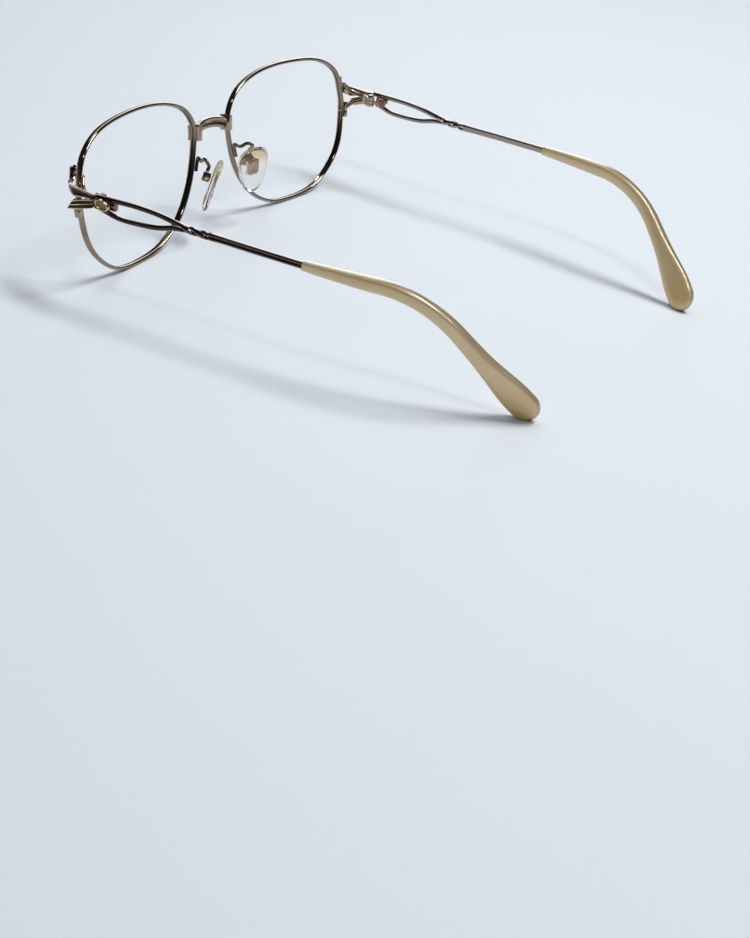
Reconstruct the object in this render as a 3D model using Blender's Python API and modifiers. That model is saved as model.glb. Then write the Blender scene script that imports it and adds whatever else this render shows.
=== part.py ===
"""Metal eyeglass frame with twin-wire temples, modelled in metres with +Z up.

The front faces -Y, the temples run back along +Y, and the wearer's left is +X. The datum of the
design is midway between the lenses, at the height and depth of their centres; at the end the whole
frame is raised on to the surface it stands on. Paired pieces are modelled on the wearer's left
and mirrored to the right.
"""
import math

import bmesh
import bpy
from mathutils import Matrix, Vector

# Rims, measured along the middle of the eye wire
EYE_WIDTH = 0.0550
EYE_HEIGHT = 0.0400
EYE_SPACING = 0.0164
EYE_OUTLINE = ((1.0, 0.535), (0.996, 0.668), (0.947, 0.847), (0.798, 0.961), (0.543, 1.0),
               (0.288, 0.985), (0.097, 0.908), (0.007, 0.773), (0.004, 0.620), (0.055, 0.372),
               (0.169, 0.160), (0.342, 0.031), (0.552, 0.0), (0.743, 0.035), (0.889, 0.163),
               (0.969, 0.318))
RIM_THICKNESS = 0.0010
RIM_DEPTH = 0.0019
GROOVE_WIDTH = 0.0009
GROOVE_DEPTH = 0.0003
RIM_SPLIT = 0.00012
PANTOSCOPIC_TILT = math.radians(9.9)
WRAP_ANGLE = math.radians(3.8)
LENS_BASE_RADIUS = 0.150
FOOT_FLAT = 0.00012

# Clearances
BRAZE_GAP = 0.00015
BUTT_GAP = 0.0003
PIN_CLEARANCE = 0.00006
KNUCKLE_GAP = 0.0001
CORE_CLEARANCE = 0.00008

# Bridge
BRIDGE_RISE = 0.0081
BRIDGE_HEIGHT = 0.0030
BRIDGE_THICKNESS = 0.0013
BRIDGE_BOW = 0.0016
COLLAR_LENGTH = 0.0040
COLLAR_WALL = 0.0006

# Closing blocks at the split of the rim
BLOCK_WIDTH = 0.0019
BLOCK_THICKNESS = 0.0015
BLOCK_HEIGHT_BELOW = 0.0018
BLOCK_HEIGHT_ABOVE = 0.0026
CLOSING_SCREW_RADIUS = 0.0004
CLOSING_HEAD_RADIUS = 0.00062
CLOSING_HEAD_HEIGHT = 0.0004

# Hinge
HINGE_OUTSET = 0.0017
HINGE_SETBACK = 0.0128
HINGE_RISE = 0.0066
BARREL_RADIUS = 0.00125
KNUCKLE_HEIGHT = 0.00086
HINGE_PIN_RADIUS = 0.00045
HINGE_HEAD_RADIUS = 0.00080
HINGE_HEAD_HEIGHT = 0.00045
LEAF_THICKNESS = 0.0008
LEAF_LENGTH = 0.0012
HINGE_BLOCK_THICKNESS = 0.0013
HINGE_BLOCK_START = 0.0017
HINGE_BLOCK_LENGTH = 0.0030
SLOT_WIDTH = 0.00022
SLOT_DEPTH = 0.00020

# Branches of the end piece
BRANCH_HEIGHT = 0.0013
BRANCH_THICKNESS = 0.0009
UPPER_BRANCH_RISE = 0.0098
BRANCH_OUTSET = 0.0004
LOWER_BRANCH_RISE = 0.0023
UPPER_BRANCH_BULGE = (0.0003, -0.0010, -0.0007)
LOWER_BRANCH_BULGE = (0.0001, -0.0006, 0.0004)

# Ribbon and fan on the outside of the end piece
RIBBON_TOP_RISE = 0.0118
RIBBON_SETFORWARD = 0.0011
RIBBON_WIDTH = 0.0022
RIBBON_THICKNESS = 0.0006
RIBBON_FOLD_RISE = 0.0088
RIBBON_FOLD_OUTSET = 0.0016
RIBBON_TURN_HEIGHT = 0.0034
RIBBON_TURN_SETBACK = 0.0034
ORNAMENT_GAP = 0.0005
ORNAMENT_REAR_THICKNESS = 0.0014
RIBBON_REAR_HEIGHT = 0.0011
FAN_REAR_HEIGHT = 0.0022
FAN_REAR_LEVEL = -0.0003
FAN_FRONT_HEIGHT = 0.0029
FAN_THICKNESS = 0.0006
FAN_FRONT_RISE = 0.00386
FAN_FRONT_SETBACK = 0.0043

# Temple
WIRE_RADIUS = 0.00067
WIRE_OUTSET = 0.0026
WIRE_START = 0.0003
UPPER_WIRE = ((0.0007, 0.0017), (0.0062, 0.0019), (0.0118, 0.0020), (0.0174, 0.0017),
              (0.0220, 0.0010))
LOWER_WIRE = ((0.0007, -0.0009), (0.0062, -0.0023), (0.0118, -0.0023), (0.0174, -0.0018),
              (0.0220, -0.0006))
KNOT_DISTANCE = 0.0281
KNOT_RISE = 0.0002
KNOT_HALF_LENGTH = 0.0034
KNOT_WIRE_WIDTH = 0.00095
KNOT_HALF_TURNS = 2
SHANK_HEIGHT = 0.0019
SHANK_THICKNESS = 0.0013
SHANK_GROOVE = 0.0002
TOE_IN_START = 0.0460
TOE_IN_RADIUS = 0.1760
ARCH_RISE = 0.0005
BEND_START = 0.0785
BEND_RADIUS = 0.0290
TIP_SLOPE = math.radians(45)
CORE_HEIGHT = 0.0014
CORE_THICKNESS = 0.0009
CORE_SHORT_OF_END = 0.0140
CAP_LENGTH = 0.0041
CAP_HEIGHT = 0.0026
CAP_THICKNESS = 0.0009
CAP_RIM = 0.00035
CAP_DISTANCE = 0.0018
CAP_TILT = math.radians(20)

# Tip, a moulded sleeve over the rear of the temple
TIP_START = 0.0591
TIP_FRONT_HEIGHT = 0.0025
TIP_FRONT_THICKNESS = 0.0021
TIP_HEIGHT = 0.0036
TIP_THICKNESS = 0.0031
PADDLE_WIDTH = 0.0078
PADDLE_THICKNESS = 0.0028
PADDLE_LENGTH = 0.0300
TIP_SQUARENESS = 0.5

# Nose pads
PAD_LENGTH = 0.0150
PAD_WIDTH = 0.0088
PAD_THICKNESS = 0.0020
PAD_TAPER = 0.2
PAD_SQUARENESS = 0.8
PAD_SPLAY = math.radians(27)
PAD_FRONTAL = math.radians(11)
PAD_PITCH = math.radians(13)
PAD_PIVOT = (0.0102, 0.0066, -0.0016)
PAD_PIVOT_ABOVE_CENTRE = 0.0017
PAD_FACE_GAP = 0.0004
PAD_BOX_WALL = 0.0004
PAD_BOX_REACH = 0.0008
STUD_RADIUS = 0.0007
STUD_WIDTH = 0.0012
STUD_CLEARANCE = 0.00016
STUD_NECK = 0.0010
PAD_SCREW_RADIUS = 0.0004
PAD_SCREW_HEAD_RADIUS = 0.0006
PAD_SCREW_HEAD = 0.0003
INSERT_WIDTH = 0.0034
INSERT_LENGTH = 0.0050
INSERT_THICKNESS = 0.0005
INSERT_BELOW_PIVOT = 0.0006
PAD_ARM_RADIUS = 0.0005
PAD_FOOT_TOP = 0.0016
PAD_FOOT_BOTTOM = -0.0020
PAD_ARM_APEX = (0.0009, 0.0001, 0.0044)

# Values worked out from the ones above
LENS_CENTRE_X = EYE_SPACING / 2 + EYE_WIDTH * math.cos(WRAP_ANGLE) / 2
LENS_TURN = Matrix.Rotation(WRAP_ANGLE, 3, "Z") @ Matrix.Rotation(PANTOSCOPIC_TILT, 3, "X")
HINGE = Vector((EYE_SPACING / 2 + EYE_WIDTH * math.cos(WRAP_ANGLE) + HINGE_OUTSET,
                HINGE_SETBACK, HINGE_RISE))
BARREL_HEIGHT = 3 * KNUCKLE_HEIGHT + 2 * KNUCKLE_GAP
TEMPLE_TURN = Matrix.Rotation(math.atan(2 * WIRE_OUTSET / TOE_IN_START), 3, "Z")
PIVOT = Vector(PAD_PIVOT)
PAD_TURN = (Matrix.Rotation(PAD_SPLAY, 3, "Z") @ Matrix.Rotation(-PAD_FRONTAL, 3, "Y")
            @ Matrix.Rotation(-PAD_PITCH, 3, "X"))
PAD_FACE = PAD_BOX_REACH + PAD_FACE_GAP
UP = Vector((0, 0, 1))
BACK = Vector((0, 1, 0))
OUT = Vector((1, 0, 0))

BRONZE = ((0.060, 0.040, 0.030, 1), 1.0, 0.22)
ROSE_METAL = ((0.42, 0.29, 0.20, 1), 1.0, 0.28)
GOLD = ((0.80, 0.58, 0.27, 1), 1.0, 0.22)
COPPER = ((0.40, 0.22, 0.14, 1), 1.0, 0.28)
STEEL = ((0.45, 0.42, 0.38, 1), 1.0, 0.30)
PEARL = ((0.74, 0.64, 0.47, 1), 0.0, 0.30)
CLEAR = ((0.88, 0.84, 0.74, 1), 0.0, 0.12)


def remove_everything():
    for item in list(bpy.data.objects):
        bpy.data.objects.remove(item, do_unlink=True)


def finish_mesh(mesh):
    """Weld a mesh, turn its faces outwards and shade its round parts smooth."""
    work = bmesh.new()
    work.from_mesh(mesh)
    bmesh.ops.remove_doubles(work, verts=work.verts, dist=1e-7)
    bmesh.ops.recalc_face_normals(work, faces=work.faces)
    work.to_mesh(mesh)
    work.free()
    mesh.shade_smooth()
    mesh.set_sharp_from_angle(angle=math.radians(35))


def new_object(name, mesh):
    item = bpy.data.objects.new(name, mesh)
    bpy.context.scene.collection.objects.link(item)
    return item


def baked(item):
    """Replace an object's data by its evaluated mesh in world space."""
    bpy.context.view_layer.update()
    mesh = bpy.data.meshes.new_from_object(item.evaluated_get(bpy.context.evaluated_depsgraph_get()))
    mesh.transform(item.matrix_world)
    name = item.name
    bpy.data.objects.remove(item, do_unlink=True)
    finish_mesh(mesh)
    return new_object(name, mesh)


def combine(target, other, operation):
    """Join or cut the first solid with the second, which is used up."""
    change = target.modifiers.new(operation.lower(), "BOOLEAN")
    change.operation = operation
    change.object = other
    change.solver = "EXACT"
    result = baked(target)
    bpy.data.objects.remove(other, do_unlink=True)
    return result


def joined(target, *others):
    for other in others:
        target = combine(target, other, "UNION")
    return target


def cut(target, *cutters):
    for cutter in cutters:
        target = combine(target, cutter, "DIFFERENCE")
    return target


def box(name, low, high, turn=None, origin=None):
    """A block between two corners, optionally turned and moved to an origin."""
    low, high = Vector(low), Vector(high)
    mesh = bpy.data.meshes.new(name)
    work = bmesh.new()
    bmesh.ops.create_cube(work, size=1)
    for vert in work.verts:
        vert.co = Vector(low[i] + (vert.co[i] + 0.5) * (high[i] - low[i]) for i in range(3))
        if turn:
            vert.co = turn @ vert.co
        if origin:
            vert.co += origin
    work.to_mesh(mesh)
    work.free()
    return new_object(name, mesh)


def rod(name, start, end, radius, sides=20, end_radius=None):
    """A round rod or cone between two points."""
    start, end = Vector(start), Vector(end)
    mesh = bpy.data.meshes.new(name)
    work = bmesh.new()
    bmesh.ops.create_cone(work, cap_ends=True, segments=sides, radius1=radius,
                          radius2=radius if end_radius is None else end_radius,
                          depth=(end - start).length)
    turn = (end - start).to_track_quat("Z", "Y").to_matrix().to_4x4()
    bmesh.ops.transform(work, verts=work.verts, matrix=Matrix.Translation((start + end) / 2) @ turn)
    work.to_mesh(mesh)
    work.free()
    return new_object(name, mesh)


def wire(name, points, radius):
    """A round wire through the given points."""
    curve = bpy.data.curves.new(name, "CURVE")
    curve.dimensions = "3D"
    curve.bevel_depth = radius
    curve.bevel_resolution = 2
    curve.use_fill_caps = True
    spline = curve.splines.new("POLY")
    spline.points.add(len(points) - 1)
    for knot, point in zip(spline.points, points):
        knot.co = (*point, 1)
    return baked(new_object(name, curve))


def loft(name, rings):
    """A closed solid through rings of equally many points, with flat ends."""
    work = bmesh.new()
    rows = [[work.verts.new(point) for point in ring] for ring in rings]
    for row, following in zip(rows, rows[1:]):
        for i in range(len(row)):
            j = (i + 1) % len(row)
            work.faces.new((row[i], row[j], following[j], following[i]))
    work.faces.new(list(reversed(rows[0])))
    work.faces.new(rows[-1])
    mesh = bpy.data.meshes.new(name)
    work.to_mesh(mesh)
    work.free()
    finish_mesh(mesh)
    return new_object(name, mesh)


def smooth(points, steps, closed=False):
    """A smooth curve through the points, each of any number of values, in steps per span."""
    count = len(points)
    curve = []
    for i in range(count if closed else count - 1):
        near = [points[k % count] if closed else points[min(max(k, 0), count - 1)]
                for k in range(i - 1, i + 3)]
        for step in range(steps):
            t = step / steps
            curve.append(tuple(
                (2 * b + (c - a) * t + (2 * a - 5 * b + 4 * c - d) * t ** 2
                 + (3 * b - a - 3 * c + d) * t ** 3) / 2 for a, b, c, d in zip(*near)))
    return curve if closed else curve + [tuple(points[-1])]


def bar(name, stations, profile, steps=4, square=True):
    """A bar whose section follows the stations.

    A station is centre, width, thickness and the direction of the width; the profile's points
    run from -1 to 1 across the width and across the thickness. Unless the sections are square
    to the bar, they slant with the direction of the width.
    """
    rows = smooth([(*centre, width, thickness, *axis) for centre, width, thickness, axis in stations],
                  steps)
    centres = [Vector(row[:3]) for row in rows]
    rings = []
    for i, row in enumerate(rows):
        along = (centres[min(i + 1, len(rows) - 1)] - centres[max(i - 1, 0)]).normalized()
        across = Vector(row[5:8])
        if square:
            across -= across.dot(along) * along
        across.normalize()
        through = along.cross(across).normalized()
        rings.append([centres[i] + across * a * row[3] / 2 + through * b * row[4] / 2
                      for a, b in profile])
    return loft(name, rings)


def oval(count, squareness=1.0):
    """A circle's points, pushed outwards towards a square by a squareness under 1."""
    points = []
    for k in range(count):
        angle = math.tau * k / count
        points.append(tuple(math.copysign(abs(share) ** squareness, share)
                            for share in (math.cos(angle), math.sin(angle))))
    return points


OVAL = oval(12)
TWO_RIDGES = ((-1, -0.6), (-0.75, -1), (0.75, -1), (1, -0.6), (1, 0.4), (0.8, 1), (0.4, 1),
              (0, 0.5), (-0.4, 1), (-0.8, 1), (-1, 0.4))
THREE_RIDGES = ((-1, -0.7), (-0.8, -1), (0.8, -1), (1, -0.7), (1, 0.5), (0.85, 1), (0.6, 1),
                (0.4, 0.45), (0.2, 1), (-0.2, 1), (-0.4, 0.45), (-0.6, 1), (-0.85, 1), (-1, 0.5))
GROOVED_BAR = ((-1, -0.5), (-0.7, -1), (0.7, -1), (1, -0.5), (1, 0.4), (0.75, 1), (0.28, 1),
               (0, 1 - 2 * SHANK_GROOVE / SHANK_THICKNESS), (-0.28, 1), (-0.75, 1), (-1, 0.4))


def in_frame(u, w, depth):
    """Place a point given beside the lens centre: outwards, upwards, and back from its surface."""
    sag = (u * u + w * w) / (2 * LENS_BASE_RADIUS)
    return LENS_TURN @ Vector((u, depth + sag, w)) + Vector((LENS_CENTRE_X, 0, 0))


OUTLINE = [Vector(point) for point in smooth(
    [((across - 0.5) * EYE_WIDTH, (up - 0.5) * EYE_HEIGHT) for across, up in EYE_OUTLINE],
    5, closed=True)]


def outward(path, i):
    """The direction square to a path in the lens plane, away from the lens."""
    along = path[min(i + 1, len(path) - 1)] - path[max(i - 1, 0)]
    return Vector((along.y, -along.x)).normalized()


def along_rim(name, path, profile):
    """A bar along a path in the lens plane; the profile is outset and depth."""
    rings = []
    for i, point in enumerate(path):
        away = outward(path, i)
        rings.append([in_frame(point.x + away.x * outset, point.y + away.y * outset, depth)
                      for outset, depth in profile])
    return loft(name, rings)


def rim_crossing(side, height):
    """Where the eye wire passes a height, on the temple side (1) or the nose side (-1)."""
    count = len(OUTLINE)
    for i in range(count):
        here, following = OUTLINE[i], OUTLINE[(i + 1) % count]
        if here.x * side > 0 and (here.y - height) * (following.y - height) <= 0 \
                and here.y != following.y:
            share = (height - here.y) / (following.y - here.y)
            along = following - here
            return here.lerp(following, share), Vector((-along.y, along.x)).normalized()
    raise ValueError("the rim does not reach this height")


def beside_rim(side, height, outset, depth):
    point, away = rim_crossing(side, height)
    if away.x * side < 0:
        away = -away
    return in_frame(point.x + away.x * outset, point.y + away.y * outset, depth)


def rim_stretch(side, height, length):
    """The piece of the eye wire's path that is centred on a height."""
    count = 5
    heights = [height + length * (k / (count - 1) - 0.5) for k in range(count)]
    return [rim_crossing(side, level)[0] for level in (heights if side > 0 else reversed(heights))]


def make_rim():
    path = [point.copy() for point in OUTLINE] + [OUTLINE[0].copy()]
    path[0] += (path[1] - path[0]).normalized() * RIM_SPLIT / 2
    path[-1] += (path[-2] - path[-1]).normalized() * RIM_SPLIT / 2
    half, deep = RIM_THICKNESS / 2, RIM_DEPTH / 2
    edge = 0.25 * RIM_THICKNESS
    profile = ((-half, GROOVE_WIDTH / 2), (-half, deep - edge / 2), (-half + edge / 2, deep),
               (half - edge, deep), (half, deep - edge), (half, edge - deep), (half - edge, -deep),
               (edge / 2 - half, -deep), (-half, edge / 2 - deep), (-half, -GROOVE_WIDTH / 2),
               (GROOVE_DEPTH - half, 0))
    return along_rim("rim", path, profile)


def make_bridge():
    inner = RIM_THICKNESS / 2 + BRAZE_GAP
    outer = inner + COLLAR_WALL
    deep = RIM_DEPTH / 2 + BRAZE_GAP
    lip = -0.2 * RIM_THICKNESS
    profile = ((lip, deep), (lip, deep + COLLAR_WALL), (outer, deep + COLLAR_WALL),
               (outer, -deep - COLLAR_WALL), (lip, -deep - COLLAR_WALL), (lip, -deep),
               (inner, -deep), (inner, deep))
    path = rim_stretch(-1, BRIDGE_RISE, COLLAR_LENGTH)
    collar = along_rim("collar", path, profile)
    twin = mirrored(collar, "collar_twin")
    end = beside_rim(-1, BRIDGE_RISE, inner + COLLAR_WALL / 2, 0)
    crown = Vector((0, end.y - BRIDGE_BOW, end.z + BRIDGE_BOW / 2))
    quarter = end.lerp(crown, 0.5) + Vector((0, -BRIDGE_BOW / 4, BRIDGE_BOW / 6))
    line = [end, quarter, crown, quarter * Vector((-1, 1, 1)), end * Vector((-1, 1, 1))]
    span = bar("bridge", [(point, BRIDGE_HEIGHT, BRIDGE_THICKNESS, UP) for point in line],
               TWO_RIDGES)
    return joined(span, collar, twin)


def closing_spot(outset, level, depth):
    """A point beside the split of the rim: away from the lens, up along the rim, and back."""
    split = OUTLINE[0]
    along = (OUTLINE[1] - OUTLINE[-1]).normalized()
    return in_frame(split.x + outset * along.y + level * along.x,
                    split.y - outset * along.x + level * along.y, depth)


def closing_block(name, low, high):
    inner = RIM_THICKNESS / 2 + BRAZE_GAP
    corner = 0.3 * BLOCK_THICKNESS
    half = BLOCK_WIDTH / 2
    shape = ((inner, -half), (inner + BLOCK_THICKNESS - corner, -half),
             (inner + BLOCK_THICKNESS, corner - half), (inner + BLOCK_THICKNESS, half - corner),
             (inner + BLOCK_THICKNESS - corner, half), (inner, half))
    rings = [[closing_spot(outset, level, depth) for outset, depth in shape]
             for level in (low, high)]
    return loft(name, rings)


def closing_axis(level):
    return closing_spot(RIM_THICKNESS / 2 + BRAZE_GAP + BLOCK_THICKNESS / 2, level, 0)


def make_closing_parts():
    below, above = -RIM_SPLIT / 2, RIM_SPLIT / 2
    bottom, top = below - BLOCK_HEIGHT_BELOW, above + BLOCK_HEIGHT_ABOVE
    lower = closing_block("closing_block_lower", bottom, below)
    upper = closing_block("closing_block_upper", above, top)
    hole = CLOSING_SCREW_RADIUS + PIN_CLEARANCE
    sink = bottom + CLOSING_HEAD_HEIGHT + PIN_CLEARANCE
    lower = cut(lower, rod("hole", closing_axis(bottom - BUTT_GAP), closing_axis(top), hole),
                rod("sink", closing_axis(bottom - BUTT_GAP), closing_axis(sink),
                    CLOSING_HEAD_RADIUS + PIN_CLEARANCE))
    screw_end = top - 2 * CLOSING_HEAD_HEIGHT
    upper = cut(upper, rod("hole", closing_axis(bottom), closing_axis(screw_end + BUTT_GAP), hole))
    head = rod("closing_screw", closing_axis(bottom), closing_axis(bottom + CLOSING_HEAD_HEIGHT),
               CLOSING_HEAD_RADIUS)
    shaft = rod("shaft", closing_axis(bottom + CLOSING_HEAD_HEIGHT / 2), closing_axis(screw_end),
                CLOSING_SCREW_RADIUS)
    return upper, lower, joined(head, shaft)


def branch(name, foot, end, bulge):
    """A two-ridged bar from the back of the rim to the hinge leaf."""
    line = []
    for share in (0, 0.3, 0.6, 1):
        line.append(foot.lerp(end, share) + Vector(bulge) * math.sin(math.pi * share))
    line.append(end + BACK * (LEAF_LENGTH + BRANCH_HEIGHT / 2))
    return bar(name, [(point, BRANCH_HEIGHT, BRANCH_THICKNESS, UP) for point in line], TWO_RIDGES)


def make_branches():
    depth = RIM_DEPTH / 2 + BRAZE_GAP + BRANCH_HEIGHT / 2
    side_by_side = (BRANCH_HEIGHT + BRAZE_GAP) / 2
    end = HINGE + Vector((LEAF_THICKNESS / 2 + BRAZE_GAP + BRANCH_THICKNESS / 2,
                          -BARREL_RADIUS - BUTT_GAP - LEAF_LENGTH - BRANCH_HEIGHT / 2, 0))
    upper = branch("endpiece_upper_branch", beside_rim(1, UPPER_BRANCH_RISE, BRANCH_OUTSET, depth),
                   end + UP * side_by_side, UPPER_BRANCH_BULGE)
    lower = branch("endpiece_lower_branch", beside_rim(1, LOWER_BRANCH_RISE, BRANCH_OUTSET, depth),
                   end - UP * side_by_side, LOWER_BRANCH_BULGE)
    return upper, lower


def ornament_rear(level):
    """The rear end of an ornament at a level beside the hinge, just ahead of the temple."""
    inner = LEAF_THICKNESS / 2 + BRAZE_GAP + BRANCH_THICKNESS + ORNAMENT_GAP
    return HINGE + Vector((inner + ORNAMENT_REAR_THICKNESS / 2, -WIRE_START - ORNAMENT_GAP, level))


def make_ribbon():
    """The ribbon: a leaf down the outside of the rim, which folds and runs back to the hinge."""
    seat = RIM_THICKNESS / 2 + BRAZE_GAP + RIBBON_THICKNESS / 2
    fold = beside_rim(1, RIBBON_FOLD_RISE, RIBBON_FOLD_OUTSET, -RIBBON_SETFORWARD)
    rear = ornament_rear(FAN_REAR_LEVEL + (FAN_REAR_HEIGHT + RIBBON_REAR_HEIGHT) / 2 + BRAZE_GAP)
    middle = (RIBBON_TOP_RISE + RIBBON_FOLD_RISE) / 2
    turn = Vector((fold.x + 3.5 * RIBBON_THICKNESS, RIBBON_TURN_SETBACK,
                   fold.z - RIBBON_TURN_HEIGHT / 2))
    halfway = turn.lerp(rear, 0.4) - UP * RIBBON_THICKNESS / 2
    stations = [
        (beside_rim(1, RIBBON_TOP_RISE, seat, -RIBBON_SETFORWARD), 0.3 * RIBBON_WIDTH,
         RIBBON_THICKNESS, BACK),
        (beside_rim(1, middle + 0.3 * RIBBON_WIDTH, seat + RIBBON_THICKNESS, -RIBBON_SETFORWARD),
         0.9 * RIBBON_WIDTH, RIBBON_THICKNESS, BACK),
        (fold, RIBBON_WIDTH, RIBBON_THICKNESS, BACK + 0.8 * UP),
        (turn, RIBBON_TURN_HEIGHT, RIBBON_THICKNESS, UP - 0.5 * BACK),
        (halfway, 0.65 * RIBBON_TURN_HEIGHT, 1.3 * RIBBON_THICKNESS, UP),
        (rear, RIBBON_REAR_HEIGHT, ORNAMENT_REAR_THICKNESS, UP)]
    return bar("endpiece_ribbon", stations, TWO_RIDGES, square=False)


def make_fan():
    """The fan: three ridges that spread from the hinge to a slanted front edge."""
    rear = ornament_rear(FAN_REAR_LEVEL)
    block_face = closing_spot(RIM_THICKNESS / 2 + BRAZE_GAP + BLOCK_THICKNESS,
                              BLOCK_HEIGHT_ABOVE, 0).x
    front = Vector((block_face + 2 * BRAZE_GAP + FAN_THICKNESS / 2, FAN_FRONT_SETBACK,
                    FAN_FRONT_RISE))
    stations = [(front, FAN_FRONT_HEIGHT, FAN_THICKNESS, UP + 0.6 * BACK),
                (front.lerp(rear, 0.4), FAN_FRONT_HEIGHT, 1.3 * FAN_THICKNESS, UP + 0.3 * BACK),
                (rear, FAN_REAR_HEIGHT, ORNAMENT_REAR_THICKNESS, UP)]
    return bar("endpiece_gold_fan", stations, THREE_RIDGES, square=False)


def knuckle(name, index, extra=0.0):
    """One of the hinge's three knuckles, counted from the bottom."""
    low = -BARREL_HEIGHT / 2 + index * (KNUCKLE_HEIGHT + KNUCKLE_GAP)
    return rod(name, HINGE + UP * (low - extra), HINGE + UP * (low + KNUCKLE_HEIGHT + extra),
               BARREL_RADIUS + extra, 24)


def hinge_hole():
    return rod("hole", HINGE - UP * BARREL_HEIGHT, HINGE + UP * BARREL_HEIGHT,
               HINGE_PIN_RADIUS + PIN_CLEARANCE)


def make_hinge_parts():
    half = BARREL_HEIGHT / 2
    leaf = box("hinge_front_leaf", (-LEAF_THICKNESS / 2, -BARREL_RADIUS - LEAF_LENGTH, -half),
               (LEAF_THICKNESS / 2, -BARREL_RADIUS / 2, half), origin=HINGE)
    leaf = joined(leaf, knuckle("knuckle", 0), knuckle("knuckle", 2))
    leaf = cut(leaf, knuckle("relief", 1, KNUCKLE_GAP), hinge_hole())

    wire_face = WIRE_OUTSET - WIRE_RADIUS - BRAZE_GAP
    block = box("hinge_temple_leaf", (wire_face - HINGE_BLOCK_THICKNESS, HINGE_BLOCK_START, -half),
                (wire_face, HINGE_BLOCK_START + HINGE_BLOCK_LENGTH, half), TEMPLE_TURN, HINGE)
    block = rounded(block, 0.25 * HINGE_BLOCK_THICKNESS)
    arm = box("arm", (0, 0, -KNUCKLE_HEIGHT / 2), (BARREL_RADIUS, 2 * HINGE_BLOCK_START,
                                                   KNUCKLE_HEIGHT / 2), origin=HINGE)
    temple_leaf = cut(joined(block, arm, knuckle("knuckle", 1)), hinge_hole())

    head_low = HINGE + UP * (half + KNUCKLE_GAP)
    head_high = head_low + UP * HINGE_HEAD_HEIGHT
    screw = rod("hinge_screw", head_low, head_high, HINGE_HEAD_RADIUS, 20, 0.8 * HINGE_HEAD_RADIUS)
    screw = joined(screw, rod("shaft", HINGE - UP * half, head_high - UP * HINGE_HEAD_HEIGHT / 2,
                              HINGE_PIN_RADIUS))
    slot = box("slot", (-HINGE_HEAD_RADIUS, -SLOT_WIDTH / 2, -SLOT_DEPTH),
               (HINGE_HEAD_RADIUS, SLOT_WIDTH / 2, SLOT_DEPTH), origin=head_high)
    return leaf, temple_leaf, cut(screw, slot)


def rounded(item, width):
    edge = item.modifiers.new("rounding", "BEVEL")
    edge.width = width
    edge.segments = 2
    edge.limit_method = "ANGLE"
    return baked(item)


def temple_outset(distance):
    """How far outside the hinge axis the temple runs, at a distance along it."""
    beyond = distance - TOE_IN_START
    if beyond < 0:
        return WIRE_OUTSET * (beyond / TOE_IN_START) ** 2
    return -beyond ** 2 / (2 * TOE_IN_RADIUS)


def temple_point(distance):
    """A point on the temple's middle line behind the knot, by its distance from the hinge."""
    arch = min((distance - KNOT_DISTANCE) / (BEND_START - KNOT_DISTANCE), 1)
    rise = KNOT_RISE + ARCH_RISE * (1 - (1 - arch) ** 2)
    back = min(distance, BEND_START)
    turned = min(max((distance - BEND_START) / BEND_RADIUS, 0), TIP_SLOPE)
    back += BEND_RADIUS * math.sin(turned)
    rise -= BEND_RADIUS * (1 - math.cos(turned))
    straight = max(distance - BEND_START - BEND_RADIUS * TIP_SLOPE, 0)
    back += straight * math.cos(TIP_SLOPE)
    rise -= straight * math.sin(TIP_SLOPE)
    return HINGE + Vector((temple_outset(distance), back, rise))


def temple_up(distance):
    """The direction across the temple in its own upright plane."""
    along = temple_point(distance + WIRE_RADIUS) - temple_point(distance - WIRE_RADIUS)
    return OUT.cross(along).normalized() * (1 if OUT.cross(along).z > 0 else -1)


def paddle_centre_distance(ground):
    """How far along the temple the paddle's round end is centred, so that it meets the ground."""
    drop = HINGE.z + KNOT_RISE + ARCH_RISE - ground - PADDLE_WIDTH / 2 + FOOT_FLAT
    straight = (drop - BEND_RADIUS * (1 - math.cos(TIP_SLOPE))) / math.sin(TIP_SLOPE)
    return BEND_START + BEND_RADIUS * TIP_SLOPE + straight


def make_twin_wire(name, shape, side):
    """A temple wire from the hinge block to the knot, where the two twist round each other."""
    places = [(WIRE_OUTSET, -WIRE_START, shape[0][1])]
    places += [(temple_outset(distance), distance, rise) for distance, rise in shape]
    stations = [(HINGE + Vector(place), 2 * WIRE_RADIUS, 2 * WIRE_RADIUS, UP) for place in places]
    beside = side * (KNOT_WIRE_WIDTH + BRAZE_GAP) / 2
    steps = 4 * KNOT_HALF_TURNS
    for k in range(steps + 1):
        turned = math.pi * KNOT_HALF_TURNS * k / steps
        distance = KNOT_DISTANCE + KNOT_HALF_LENGTH * (2 * k / steps - 1)
        across = Vector((math.sin(turned), 0, math.cos(turned)))
        centre = HINGE + Vector((temple_outset(distance), distance, KNOT_RISE)) + beside * across
        stations.append((centre, KNOT_WIRE_WIDTH, 2 * WIRE_RADIUS, across))
    stations.append((stations[-1][0] + BACK * WIRE_RADIUS, *stations[-1][1:]))
    return bar(name, stations, OVAL, steps=3)


def make_shank(ground):
    """The grooved bar behind the knot, and the core that it draws down to inside the tip."""
    start = KNOT_DISTANCE + KNOT_HALF_LENGTH + WIRE_RADIUS + BUTT_GAP
    shoulder = TIP_START - BUTT_GAP
    end = paddle_centre_distance(ground) + PADDLE_WIDTH / 2 - CORE_SHORT_OF_END
    twin_height = 2 * KNOT_WIRE_WIDTH + BRAZE_GAP
    stations = [(temple_point(start), twin_height, 1.2 * SHANK_THICKNESS, UP)]
    for share in (0.15, 0.5, 1):
        distance = start + (shoulder - start) * share
        stations.append((temple_point(distance), SHANK_HEIGHT, SHANK_THICKNESS, UP))
    shank = bar("temple_shank", stations, GROOVED_BAR, steps=3)
    core = bar("core", core_stations(shoulder - SHANK_THICKNESS / 2, end, 0), OVAL, steps=2)
    return joined(shank, core)


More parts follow.
